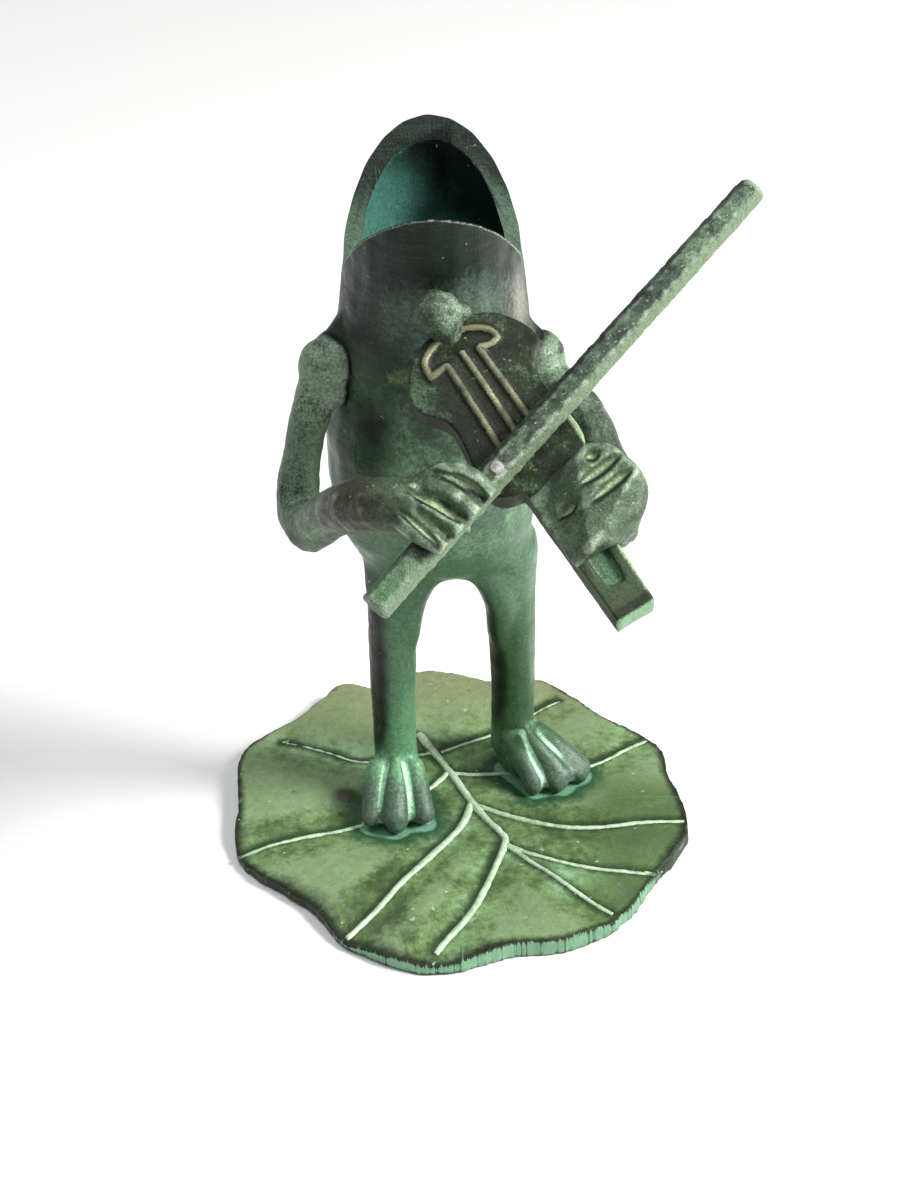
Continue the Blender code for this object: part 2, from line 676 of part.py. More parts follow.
body_room = torso_loft("torso_room", SEAT_GAP)
violin_room = violin(SEAT_GAP)
bow_room = bow(SEAT_GAP)
combine(arms["right"], "DIFFERENCE", body_room, bow_room, violin_room)
combine(arms["left"], "DIFFERENCE", body_room, violin_room)
combine(fiddle, "DIFFERENCE", body_room)

# Violin stud: a ball-headed stud through the chest wall, with a washer and a nut inside
ball_middle, chest, inside = stud_place()
back = Vector((0, 1, 0))
stud = ball("violin_stud", ball_middle, (STUD_HEAD_RADIUS,) * 3, bronze, 20)
nut_end = inside + back * (SEAT_GAP * 2 + WASHER_THICKNESS + STUD_NUT_HEIGHT + 0.0015)
combine(stud, "UNION", rod("stud_shank", ball_middle, nut_end, STUD_SHANK_RADIUS))
stud_hole = rod("stud_hole", ball_middle, nut_end + back * 0.002, STUD_SHANK_RADIUS + PIN_GAP)
combine(body, "DIFFERENCE", stud_hole)
combine(stud, "DIFFERENCE", violin_room)
washer_start = inside + back * 0.0012
washer_end = washer_start + back * WASHER_THICKNESS
ring("stud_washer", washer_start, washer_end, STUD_WASHER_RADIUS, STUD_SHANK_RADIUS + PIN_GAP, steel)
nut_start = washer_end + back * SEAT_GAP
hex_nut("stud_nut", nut_start, nut_start + back * STUD_NUT_HEIGHT, STUD_NUT_WIDTH, STUD_SHANK_RADIUS + PIN_GAP)

# Shoulder pins: from each shoulder ball into the torso's wall
for name, sign in (("right", -1), ("left", 1)):
    middle = shoulder(sign)
    inward = Vector((-sign, 0.25, 0)).normalized()
    start = middle - inward * SHOULDER_PIN_LENGTH * 0.30
    end = start + inward * SHOULDER_PIN_LENGTH
    rod(f"{name}_shoulder_pin", start, end, SHOULDER_PIN_RADIUS, steel, 16)
    hole = rod(f"{name}_shoulder_hole", start - inward * PIN_GAP, end + inward * 0.002, SHOULDER_PIN_RADIUS + PIN_GAP)
    combine(body, "DIFFERENCE", hole)
    combine(arms[name], "DIFFERENCE", hole)

# Bow rivet: its head shows on the bow, and its shank goes through the bow into the violin's face
at = -RIGHT_HAND_ON_BOW + RIVET_FROM_HAND
top = BOW_RADIUS * 0.95
deep = -BOW_LIFT - VIOLIN_THICKNESS * 0.55
rivet = rod("bow_rivet", bow_point(at, 0, deep), bow_point(at, 0, top + 0.0008), HAND_PIN_RADIUS, steel)
combine(rivet, "UNION", rod("bow_rivet_head", bow_point(at, 0, top + SEAT_GAP), bow_point(at, 0, top + 0.0013),
                            BOW_RIVET_HEAD, end_radius=BOW_RIVET_HEAD * 0.7, sides=10))
rivet_hole = rod("bow_rivet_hole", bow_point(at, 0, deep - PIN_GAP), bow_point(at, 0, top + 0.004),
                 HAND_PIN_RADIUS + PIN_GAP)
combine(stick, "DIFFERENCE", rivet_hole)
combine(fiddle, "DIFFERENCE", rivet_hole)

# Neck pin: out of the left palm into the side of the violin's neck
at = LEFT_HAND_ON_NECK
pin_in = violin_point(at, 0.0, -NECK_THICKNESS * 0.5)
pin_out = violin_point(at, NECK_HALF_WIDTH + 0.006, -NECK_THICKNESS * 0.5)
rod("neck_pin", pin_in, pin_out, HAND_PIN_RADIUS, steel)
away = (pin_out - pin_in).normalized() * PIN_GAP
neck_hole = rod("neck_pin_hole", pin_in - away, pin_out + away, HAND_PIN_RADIUS + PIN_GAP)
combine(fiddle, "DIFFERENCE", neck_hole)
combine(arms["left"], "DIFFERENCE", neck_hole)

# Foot screws: up through the pad into each foot, with a washer under the head
for name, ankle, toes in (("right", RIGHT_ANKLE, RIGHT_TOES), ("left", LEFT_ANKLE, LEFT_TOES)):
    middle = foot_middle(ankle, toes)
    seat = FOOT_RECESS_DEPTH - SEAT_GAP
    ring(f"{name}_foot_washer", Vector((*middle, seat - WASHER_THICKNESS)), Vector((*middle, seat)),
         FOOT_WASHER_RADIUS, FOOT_SCREW_RADIUS + PIN_GAP, steel)
    head_top = seat - WASHER_THICKNESS - SEAT_GAP
    screw = rod(f"{name}_foot_screw", (*middle, head_top - FOOT_SCREW_HEAD_HEIGHT), (*middle, head_top),
                FOOT_SCREW_HEAD_RADIUS, steel, 20)
    end_z = head_top + FOOT_SCREW_LENGTH
    combine(screw, "UNION", rod(f"{name}_screw_shank", (*middle, head_top - 0.001), (*middle, end_z),
                                FOOT_SCREW_RADIUS))
    combine(body, "DIFFERENCE", rod(f"{name}_foot_hole", (*middle, 0), (*middle, end_z + PIN_GAP),
                                    FOOT_SCREW_RADIUS + PIN_GAP))
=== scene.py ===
import math

import bpy
import numpy as np
from mathutils import Matrix, Vector, kdtree, noise


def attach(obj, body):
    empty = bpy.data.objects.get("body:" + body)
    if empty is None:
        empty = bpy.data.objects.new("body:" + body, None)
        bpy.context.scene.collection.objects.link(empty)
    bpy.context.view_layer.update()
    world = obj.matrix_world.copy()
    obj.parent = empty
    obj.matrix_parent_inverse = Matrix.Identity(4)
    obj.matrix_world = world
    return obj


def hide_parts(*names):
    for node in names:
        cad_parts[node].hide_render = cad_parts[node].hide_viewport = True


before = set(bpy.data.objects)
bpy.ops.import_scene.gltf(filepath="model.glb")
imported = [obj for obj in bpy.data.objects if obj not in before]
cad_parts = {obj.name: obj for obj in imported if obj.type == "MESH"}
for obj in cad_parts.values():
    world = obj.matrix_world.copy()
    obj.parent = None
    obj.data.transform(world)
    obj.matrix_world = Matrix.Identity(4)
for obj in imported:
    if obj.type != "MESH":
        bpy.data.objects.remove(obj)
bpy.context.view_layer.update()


# ---------------------------------------------------------------- the room: camera, table and lights
# The figure stands on a white table. Most of the light comes from a window on the right of whoever looks at
# it and from the ceiling, with a weaker window behind on the left. It is seen from above, slightly tilted.

def deselect():
    bpy.ops.object.select_all(action="DESELECT")


CAMERA_PLACE = (0.0, -0.840, 0.705)
CAMERA_DOWN = 35.85
CAMERA_PAN = 0.12
CAMERA_TILT = -2.2

deselect()
bpy.ops.object.camera_add(location=CAMERA_PLACE)
camera = bpy.context.object
camera.name = "camera"
aim = Matrix.Rotation(math.radians(CAMERA_PAN), 3, "Z")
aim = aim @ Matrix.Rotation(math.radians(90 - CAMERA_DOWN), 3, "X")
aim = aim @ Matrix.Rotation(math.radians(CAMERA_TILT), 3, "Z")
camera.rotation_euler = aim.to_euler()
camera.data.lens = 93
camera.data.sensor_width = 36
camera.data.clip_start = 0.05
camera.data.clip_end = 20
bpy.context.scene.camera = camera
bpy.context.scene.view_settings.view_transform = "Standard"

bpy.ops.mesh.primitive_plane_add(size=6, location=(0, 0, -0.0003))
table = bpy.context.object
table.name = "table"
white = bpy.data.materials.new("white_table")
white.use_nodes = True
white.node_tree.nodes["Principled BSDF"].inputs["Base Color"].default_value = (0.92, 0.92, 0.92, 1)
white.node_tree.nodes["Principled BSDF"].inputs["Roughness"].default_value = 0.9
white.node_tree.nodes["Principled BSDF"].inputs["Specular IOR Level"].default_value = 0.2
table.data.materials.append(white)

# (name, place, size, power, colour)
LAMPS = (
    ("window", (0.95, -0.25, 0.85), 0.40, 26.0, (1.0, 0.99, 0.96)),
    ("back_window", (-0.65, 0.55, 0.95), 0.6, 2.0, (0.93, 0.98, 1.0)),
    ("ceiling", (-0.18, -0.12, 1.5), 0.9, 8.5, (1.0, 1.0, 1.0)),
)
for name, place, size, power, colour in LAMPS:
    bpy.ops.object.light_add(type="AREA", location=place)
    lamp = bpy.context.object
    lamp.name = name
    lamp.data.size = size
    lamp.data.energy = power
    lamp.data.color = colour
    lamp.rotation_euler = (Vector((0, 0, 0.12)) - Vector(place)).to_track_quat("-Z", "Y").to_euler()

world = bpy.data.worlds.new("daylight")
world.use_nodes = True
world.node_tree.nodes["Background"].inputs["Color"].default_value = (1.0, 1.0, 1.0, 1)
world.node_tree.nodes["Background"].inputs["Strength"].default_value = 0.21
bpy.context.scene.world = world


# ---------------------------------------------------------------- lily pad
# The base is one cast bronze plate in the shape of a lily pad, with puffed fields between its veins and a
# lobed rim that was ground on a wheel. It is stained green over brown. Painted shade darkens one side of each
# vein, a halo round the feet and the rim's front-left slope; stain darkens the rest of the rim.

def select_only(*chosen):
    """Selects these objects, the first of them active."""
    deselect()
    for piece in chosen:
        piece.select_set(True)
    bpy.context.view_layer.objects.active = chosen[0]


def apply_all(piece):
    select_only(piece)
    for step in list(piece.modifiers):
        bpy.ops.object.modifier_apply(modifier=step.name)


def clean(piece):
    """Welds the piece's doubles and turns its faces outwards."""
    select_only(piece)
    bpy.ops.object.mode_set(mode="EDIT")
    bpy.ops.mesh.select_all(action="SELECT")
    bpy.ops.mesh.remove_doubles(threshold=0.00001)
    bpy.ops.mesh.normals_make_consistent(inside=False)
    bpy.ops.object.mode_set(mode="OBJECT")


def cast(name, parts, grain, softness):
    """Fuses overlapping parts into one casting, with a skin as fine as grain and softly rounded corners."""
    select_only(*parts)
    bpy.ops.object.join()
    casting = bpy.context.object
    casting.name = name
    casting.data.materials.clear()
    skin = casting.modifiers.new("skin", "REMESH")
    skin.mode = "VOXEL"
    skin.voxel_size = grain
    soft = casting.modifiers.new("soft", "SMOOTH")
    soft.factor = 0.5
    soft.iterations = softness
    apply_all(casting)
    casting.data.shade_smooth()
    return casting


def through(path, step=0.001, closed=False):
    """Close-set points on a smooth curve through the path, which is in millimetres.

    A doubled point of the path makes a corner.
    """
    path = [Vector((*point, 0.0)[:3]) / 1000 for point in path]
    if closed:
        ends = [path[-1], *path, path[0], path[1]]
    else:
        ends = [path[0] * 2 - path[1], *path, path[-1] * 2 - path[-2]]
    places = []
    for a, b, c, d in zip(ends, ends[1:], ends[2:], ends[3:]):
        count = int(math.ceil((c - b).length / step))
        for i in range(count):
            t = i / count
            places.append(0.5 * (2 * b + (c - a) * t + (2 * a - 5 * b + 4 * c - d) * t**2
                                 + (3 * b - a - 3 * c + d) * t**3))
    return places if closed else places + [path[-1]]


def rod(name, path, radii, sides=5):
    """A bent round rod through the path, with a radius in millimetres at each point."""
    deselect()
    bpy.ops.curve.primitive_bezier_curve_add()
    made = bpy.context.object
    made.name = name
    knots = made.data.splines[0].bezier_points
    knots.add(len(path) - 2)
    for knot, place, radius in zip(knots, path, radii):
        knot.co = place
        knot.radius = radius
        knot.handle_left_type = "AUTO"
        knot.handle_right_type = "AUTO"
    made.data.dimensions = "3D"
    made.data.bevel_depth = 0.001
    made.data.bevel_resolution = sides
    made.data.resolution_u = 10
    made.data.use_fill_caps = True
    bpy.ops.object.convert(target="MESH")
    made = bpy.context.object
    clean(made)
    return made


def slab(name, outline, start, thickness, turn=None):
    """A plate of that outline, which starts at a height and grows upwards, then turned into place."""
    deselect()
    bpy.ops.mesh.primitive_circle_add(vertices=len(outline), radius=0.01, fill_type="NGON")
    made = bpy.context.object
    made.name = name
    for point, place in zip(made.data.vertices, outline):
        point.co = (place[0], place[1], start)
    bpy.ops.object.mode_set(mode="EDIT")
    bpy.ops.mesh.select_all(action="SELECT")
    bpy.ops.mesh.extrude_region_move(TRANSFORM_OT_translate={"value": (0, 0, thickness)})
    bpy.ops.mesh.select_all(action="SELECT")
    bpy.ops.mesh.normals_make_consistent(inside=False)
    bpy.ops.object.mode_set(mode="OBJECT")
    if turn:
        made.matrix_world = turn
        bpy.ops.object.transform_apply(location=True, rotation=True, scale=True)
    return made


def points_of(piece):
    """The places of the piece's points, one row each."""
    places = np.empty(len(piece.data.vertices) * 3, np.float32)
    piece.data.vertices.foreach_get("co", places)
    return places.reshape(-1, 3).astype(float)


def normals_of(piece):
    ways = np.empty(len(piece.data.vertices) * 3, np.float32)
    piece.data.vertices.foreach_get("normal", ways)
    return ways.reshape(-1, 3).astype(float)


def put_points(piece, places):
    piece.data.vertices.foreach_set("co", places.astype(np.float32).ravel())
    piece.data.update()


def note(piece, attribute, values):
    """Keeps one number for each point, for the stains and the painted shade and highlights to follow."""
    layer = piece.data.attributes.get(attribute) or piece.data.attributes.new(attribute, "FLOAT", "POINT")
    layer.data.foreach_set("value", np.asarray(values, np.float32))


def evened(piece, values, rounds):
    """The values after that many rounds of averaging each point with its neighbours."""
    ends = np.empty(len(piece.data.edges) * 2, np.int32)
    piece.data.edges.foreach_get("vertices", ends)
    a, b = ends[0::2], ends[1::2]
    count = np.maximum(np.bincount(a, minlength=len(values)) + np.bincount(b, minlength=len(values)), 1)
    values = np.array(values, float)
    columns = values.reshape(len(values), -1)
    for _ in range(rounds):
        total = np.empty_like(columns)
        for column in range(columns.shape[1]):
            total[:, column] = np.bincount(a, columns[b, column], len(columns))
            total[:, column] += np.bincount(b, columns[a, column], len(columns))
        columns = 0.5 * columns + 0.5 * total / count[:, None]
    return columns.reshape(values.shape)


def find_hollows(piece, rounds=12):
    """Notes how deep in millimetres each point lies in a hollow, below zero on edges and crests."""
    places = points_of(piece)
    depth = ((evened(piece, places, rounds) - places) * normals_of(piece)).sum(1) * 1000
    note(piece, "hollow", evened(piece, depth, 2))


def bumps(places, size, seed):
    """A smooth wandering value from -1 to 1 for each place, with features of that size in metres."""
    shift = Vector((seed * 1.37, seed * -2.11, seed * 0.73))
    return np.array([noise.noise(Vector(place) / size + shift) for place in places])


def roughen(piece, size, height, seed):
    """Moves the piece's skin in and out by up to height, as uneven casting and filing leave it."""
    places = points_of(piece)
    put_points(piece, places + normals_of(piece) * (bumps(places, size, seed) * height)[:, None])


def line_gap(places, lines, pointed=0.0):
    """How far each place is from the nearest of the lines, each a list of points in millimetres.

    Where the lines are pointed, that length is added at both of their ends and less towards the middle.
    """
    gap = np.full(len(places), 1.0)
    for line in lines:
        corners = np.array(line, float) / 1000
        for number, (start, end) in enumerate(zip(corners, corners[1:])):
            way = end - start
            share = np.clip((places - start) @ way / (way @ way), 0, 1)
            off_middle = np.abs(2 * (number + share) / (len(corners) - 1) - 1)
            here = np.linalg.norm(places - start - share[:, None] * way, axis=1) + pointed * off_middle**2
            gap = np.minimum(gap, here)
    return gap


def gap_to(places, others):
    """How far each place is from the nearest of the others."""
    tree = kdtree.KDTree(len(others))
    for number, place in enumerate(others):
        tree.insert(place, number)
    tree.balance()
    return np.array([tree.find(place)[2] for place in places])


def spot_gap(places, middle, radius):
    """1 in the middle of a round patch, 0 at its edge and below outside it."""
    return 1 - np.linalg.norm(places - np.array(middle) / 1000, axis=1) / (radius / 1000)


def tint(red, green, blue):
    """A paint card's colour, from 0 to 255, as the linear colour that a shader takes."""
    return tuple((part / 255 / 12.92 if part < 11 else ((part / 255 + 0.055) / 1.055) ** 2.4)
                 for part in (red, green, blue))


def patina(name, ground, zones, mottle, grain, rough=(0.40, 0.60), flecks=(), brushed=None, speckled=0.6):
    """Stained bronze: a mottled ground, then zones of other stain, of painted shade or of painted highlight,
    that follow the notes kept on the piece.

    ground: (share, colour) stops.
    zones: (note, from, to, colour, raggedness, pattern), where the ragged edge's pattern is cloud, or rays that
    run out from the middle.
    mottle: size of the ground's blotches. grain: (size, height) of the cast skin. rough: shiniest and dullest.
    flecks: (size, level, colour) of small spots. brushed: (note, from, to) where fine level scratches show.
    speckled: strength of the finest mottling.
    """
    material = bpy.data.materials.new(name)
    material.use_nodes = True
    tree = material.node_tree
    shader = tree.nodes["Principled BSDF"]
    link = tree.links.new

    def add(kind, **settings):
        node = tree.nodes.new(kind)
        for key, value in settings.items():
            setattr(node, key, value)
        return node

    place = add("ShaderNodeTexCoord").outputs["Object"]

    def cloud(size, detail=5.0, roughness=0.6, source=None, seed=0.0):
        shift = add("ShaderNodeMapping")
        shift.inputs["Location"].default_value = (seed, seed * 0.7, seed * 1.3)
        link(source or place, shift.inputs["Vector"])
        node = add("ShaderNodeTexNoise")
        node.inputs["Scale"].default_value = 1.0 / size
        node.inputs["Detail"].default_value = detail
        node.inputs["Roughness"].default_value = roughness
        link(shift.outputs["Vector"], node.inputs["Vector"])
        return node.outputs["Fac"]

    def maths(operation, first, second, third=None):
        node = add("ShaderNodeMath", operation=operation)
        for socket, value in zip(node.inputs, (first, second, third)):
            if isinstance(value, (int, float)):
                socket.default_value = value
            elif value is not None:
                link(value, socket)
        return node.outputs[0]

    def span(value, low, high, out_low=0.0, out_high=1.0):
        node = add("ShaderNodeMapRange", interpolation_type="SMOOTHSTEP")
        link(value, node.inputs["Value"])
        node.inputs["From Min"].default_value = min(low, high)
        node.inputs["From Max"].default_value = max(low, high)
        node.inputs["To Min"].default_value = out_low if low < high else out_high
        node.inputs["To Max"].default_value = out_high if low < high else out_low
        return node.outputs["Result"]

    def blend(share, below, above):
        node = add("ShaderNodeMix", data_type="RGBA")
        link(share, node.inputs["Factor"])
        for socket, value in ((node.inputs[6], below), (node.inputs[7], above)):
            if isinstance(value, tuple):
                socket.default_value = (*value, 1.0)
            else:
                link(value, socket)
        return node.outputs[2]

    def noted(attribute):
        return add("ShaderNodeAttribute", attribute_name=attribute).outputs["Fac"]

    broad = cloud(mottle, seed=0.11)
    middling = cloud(mottle * 0.3, seed=0.37)
    fine = cloud(mottle * 0.06, 3.0, 0.7, seed=0.53)
    mixed = maths("MULTIPLY_ADD", middling, 0.32, maths("MULTIPLY", fine, 0.16))
    mixed = maths("MULTIPLY_ADD", broad, 0.52, mixed)
    ramp = add("ShaderNodeValToRGB")
    ramp.color_ramp.interpolation = "EASE"
    for stop, (share, colour) in enumerate(ground):
        if stop >= 2:
            ramp.color_ramp.elements.new(share)
        ramp.color_ramp.elements[stop].position = share
        ramp.color_ramp.elements[stop].color = (*colour, 1.0)
    link(span(mixed, 0.36, 0.64), ramp.inputs["Fac"])
    colour = ramp.outputs["Color"]

    flat = add("ShaderNodeVectorMath", operation="MULTIPLY")
    flat.inputs[1].default_value = (1, 1, 0)
    link(place, flat.inputs[0])
    way = add("ShaderNodeVectorMath", operation="NORMALIZE")
    link(flat.outputs["Vector"], way.inputs[0])
    rays = cloud(0.014, 3.0, 0.65, source=way.outputs["Vector"])
    ragged_cloud = maths("SUBTRACT", maths("MULTIPLY_ADD", middling, 0.6, maths("MULTIPLY", fine, 0.4)), 0.5)
    ragged_rays = maths("SUBTRACT", rays, 0.5)
    for attribute, low, high, stain, ragged, pattern in zones:
        edge = ragged_rays if pattern == "rays" else ragged_cloud
        wandering = maths("MULTIPLY_ADD", edge, ragged * abs(high - low) * 4, noted(attribute))
        colour = blend(span(wandering, low, high), colour, stain)
    for size, level, stain in flecks:
        colour = blend(span(cloud(size, 2.0, 0.5, seed=size * 900), level, level + 0.05), colour, stain)

    skin = cloud(grain[0], 4.0, 0.65, seed=0.71)
    height = maths("MULTIPLY_ADD", fine, 0.6, skin)
    speckle = span(maths("MULTIPLY_ADD", fine, 0.5, maths("MULTIPLY", skin, 0.5)), 0.34, 0.66)
    if brushed:
        squeeze = add("ShaderNodeMapping")
        squeeze.inputs["Scale"].default_value = (0.02, 0.02, 1.0)
        link(place, squeeze.inputs["Vector"])
        scratches = cloud(0.00055, 3.0, 0.6, source=squeeze.outputs["Vector"])
        where = span(noted(brushed[0]), *brushed[1:])
        height = maths("MULTIPLY_ADD", maths("MULTIPLY", scratches, 0.7), where, height)
        streak = maths("MULTIPLY", span(scratches, 0.45, 0.75), where)
        colour = blend(maths("MULTIPLY", streak, 0.07), colour, tint(112, 132, 114))
    shade = add("ShaderNodeMix", data_type="RGBA", blend_type="MULTIPLY")
    shade.inputs["Factor"].default_value = speckled
    link(colour, shade.inputs[6])
    link(blend(speckle, (0.45, 0.45, 0.45), (1.55, 1.55, 1.55)), shade.inputs[7])
    link(shade.outputs[2], shader.inputs["Base Color"])
    link(span(middling, 0.35, 0.65, *rough), shader.inputs["Roughness"])
    shader.inputs["Metallic"].default_value = 0.25
    shader.inputs["Specular IOR Level"].default_value = 0.32

    bump = add("ShaderNodeBump")
    bump.inputs["Strength"].default_value = 0.8
    bump.inputs["Distance"].default_value = grain[1]
    link(maths("MULTIPLY_ADD", rays, 0.8 if "rays" in [zone[5] for zone in zones] else 0.0, height),
         bump.inputs["Height"])
    link(bump.outputs["Normal"], shader.inputs["Normal"])
    return material


def finish_piece(piece, finish, slot, *nodes):
    """Gives the piece its finish, hangs it under the root body and hides the CAD parts that it stands for."""
    piece.data.materials.clear()
    piece.data.materials.append(finish)
    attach(piece, "root")
    if nodes:
        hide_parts(*nodes)


PAD_TOP = 0.0065
PAD_GRAIN = 0.0009
# (degrees from +X, distance of the rim in millimetres), anticlockwise
RIM = (
    (-8, 79), (12, 75.5), (27, 78.5), (46, 73), (58, 77), (68, 80), (81, 75), (91, 80), (100, 83), (112, 77),
    (119, 86), (126, 85), (135, 83), (147, 86), (155, 87.5), (172, 80), (191, 80.6), (200, 77), (207, 72),
    (220, 69), (236, 74.5), (248, 76.5), (258, 78.5), (266, 77), (276, 73), (284, 72), (294, 75.5), (305, 77),
    (313, 77), (331, 74.5), (344, 78),
)
# (half width, points from root to tip) of each vein, in millimetres
VEINS = (
    (1.65, ((-15, 44), (-8, 30), (-3, 20), (3, 5), (8, -5), (14, -15), (13, -22), (7, -40), (-1, -58),
            (-11, -72))),
    (1.55, ((3, 4), (-1, -8), (-12, -24), (-21, -36), (-31, -51), (-41, -61))),
    (1.30, ((4, 3), (16, -4), (30, -9), (48, -11), (62, -10), (77, -9))),
    (1.15, ((15, -19), (21, -23), (33, -29), (46, -33), (64, -36))),
    (1.25, ((15, -19), (22, -28), (32, -39), (42, -50), (49, -56))),
    (1.15, ((-5, 22), (-12, 13), (-34, -5), (-61, -12), (-79, -17))),
    (1.10, ((-5, 22), (7, 20), (28, 21), (47, 23), (67, 37))),
    (0.85, ((-10, 33), (-34, 30), (-47, 35), (-63, 43))),
    (0.90, ((-7, 33), (11, 42), (26, 53), (37, 61))),
)
PAD_KNOB = (-0.041, 0.009)
# (root, tip, radius at the root, radius at the tip) of each toe, in millimetres
TOES = (
    ((-28.5, 9.5, 22.0), (-32.2, -7.0, 10.0), 4.6, 4.0),
    ((-22.8, 7.5, 22.5), (-23.8, -8.8, 10.4), 5.0, 5.4),
    ((-17.5, 9.5, 22.0), (-13.6, -6.5, 10.0), 4.4, 4.2),
    ((16.0, 24.0, 22.0), (26.0, 9.6, 10.2), 4.4, 4.3),
    ((21.5, 22.0, 23.0), (35.2, 11.2, 10.2), 4.8, 4.7),
    ((26.0, 26.0, 21.5), (42.6, 16.6, 10.0), 4.2, 4.2),
)


WEB_ROUNDING = 0.0022
TOE_SHARE = 0.8                   # share of a toe's radius that its outline on the pad keeps


def rim_at(degrees):
    """The rim's distance from the middle in that direction, on a smooth curve through RIM."""
    angles = [angle for angle, _ in RIM]
    degrees = (degrees - angles[0]) % 360 + angles[0]
    last = max(i for i, angle in enumerate(angles) if angle <= degrees)
    count = len(RIM)
    a, b, c, d = (RIM[(last + step) % count][1] for step in (-1, 0, 1, 2))
    width = (angles[(last + 1) % count] - angles[last]) % 360
    t = (degrees - angles[last]) / width
    tangent_b, tangent_c = (c - a) / 2, (d - b) / 2
    return ((2 * t**3 - 3 * t**2 + 1) * b + (t**3 - 2 * t**2 + t) * tangent_b
            + (3 * t**2 - 2 * t**3) * c + (t**3 - t**2) * tangent_c) / 1000


vein_paths = [through(path) for _, path in VEINS]
vein_points = [place for path in vein_paths for place in path]
vein_tree = kdtree.KDTree(len(vein_points))
for index, place in enumerate(vein_points):
    vein_tree.insert(place, index)
vein_tree.balance()


def from_vein(x, y):
    return vein_tree.find((x, y, 0))[2]


def from_rim(x, y):
    return rim_at(math.degrees(math.atan2(y, x))) - math.hypot(x, y)


def toe_gap(x, y):
    """How far the pad's point lies outside the rounded outline of the webbed feet that stand on it."""
    near = 1e-9
    for root, tip, _, radius in TOES:
        start = Vector((root[0], root[1])) / 1000
        way = Vector((tip[0], tip[1])) / 1000 - start
        share = min(max((Vector((x, y)) - start).dot(way) / way.dot(way), 0), 1)
        gap = (Vector((x, y)) - start - way * share).length - TOE_SHARE * radius / 1000
        near += math.exp(-gap / WEB_ROUNDING)
    return -WEB_ROUNDING * math.log(near)


def pad_height(x, y):
    """How high the pad's top lies there: puffed fields, valleys at the veins, a lip that drops at the rim."""
    field = 1 - math.exp(-(from_vein(x, y) / 0.011) ** 2)
    free = 1 - math.exp(-(max(toe_gap(x, y), 0) / 0.012) ** 2)
    inside = max(from_rim(x, y), 0.0)
    front_left = min(max(0.0, -(x + y) / 0.11) ** 2, 1.0)
    drop = (0.0012 + 0.0024 * front_left) * math.exp(-(inside / 0.009) ** 2)
    wave = noise.noise(Vector((x, y, 0)) / 0.026) * 0.0014
    knob = 0.0016 * math.exp(-((x - PAD_KNOB[0]) ** 2 + (y - PAD_KNOB[1]) ** 2) / 0.0045 ** 2)
    return PAD_TOP + free * (field * 0.0020 + wave) + knob - 0.0003 - drop


pad_outline = [(rim_at(a) * math.cos(math.radians(a)), rim_at(a) * math.sin(math.radians(a)))
               for a in np.arange(0, 360, 0.9)]
pad = cast("lily_pad", [slab("pad_blank", pad_outline, 0.0, PAD_TOP)], PAD_GRAIN, 3)

places = points_of(pad)
inside = np.array([from_rim(x, y) for x, y, _ in places])
share = np.clip((places[:, 2] - 0.0012) / (PAD_TOP - 0.0017), 0, 1)
tops = np.array([pad_height(x, y) for x, y, _ in places])
places[:, 2] += share * (tops - PAD_TOP)
grind = bumps(places * (1, 1, 0.15), 0.0035, 3) * 0.0005 + bumps(places, 0.012, 4) * 0.0007
outward = places[:, :2] / np.linalg.norm(places[:, :2], axis=1)[:, None]
side = np.clip(1 - inside / 0.002, 0, 1)
places[:, :2] += outward * (grind * side)[:, None]
put_points(pad, places)
roughen(pad, 0.006, 0.00012, 6)

angles = np.degrees(np.arctan2(places[:, 1], places[:, 0]))
# How strongly the rim darkens in each direction: on the front-left slope, which faces away from the window,
# this is painted shade; on the right and elsewhere it is stain.
rim_shade_and_stain = 0.14 + 0.60 * np.clip(np.cos(np.radians(angles + 125)), 0, 1)
rim_shade_and_stain = np.maximum(rim_shade_and_stain, 0.45 * np.clip(np.cos(np.radians(angles + 5)), 0, 1))
rim_shade_and_stain = rim_shade_and_stain * (1 + 0.5 * bumps(places, 0.03, 8))
note(pad, "rim", inside * 1000 / rim_shade_and_stain)
# Distance from the veins measured from a point shifted right and forwards, so that the painted shade beside
# each rib falls on its left and back side, away from the window.
note(pad, "vein", [1000 * from_vein(x + 0.0011, y - 0.0008) for x, y, _ in places])
note(pad, "toes", [1000 * toe_gap(x, y) for x, y, _ in places])
steep = 1 - np.abs(normals_of(pad)[:, 2])
note(pad, "edge", evened(pad, steep * (inside < 0.004), 2))
front = np.clip((np.cos(np.radians(angles + 78)) - 0.55) * 6, 0, 1)
note(pad, "front_edge", evened(pad, steep * (inside < 0.004) * front, 2))
note(pad, "knob", spot_gap(places, (PAD_KNOB[0] * 1000, PAD_KNOB[1] * 1000, 7.0), 8.0))
note(pad, "back", places[:, 1] * 1000)
to_the_right = np.clip((places[:, 0] - 0.030) / 0.03, 0, 1)
note(pad, "shade", to_the_right * np.clip((0.03 - places[:, 1]) / 0.03, 0, 1))
find_hollows(pad)

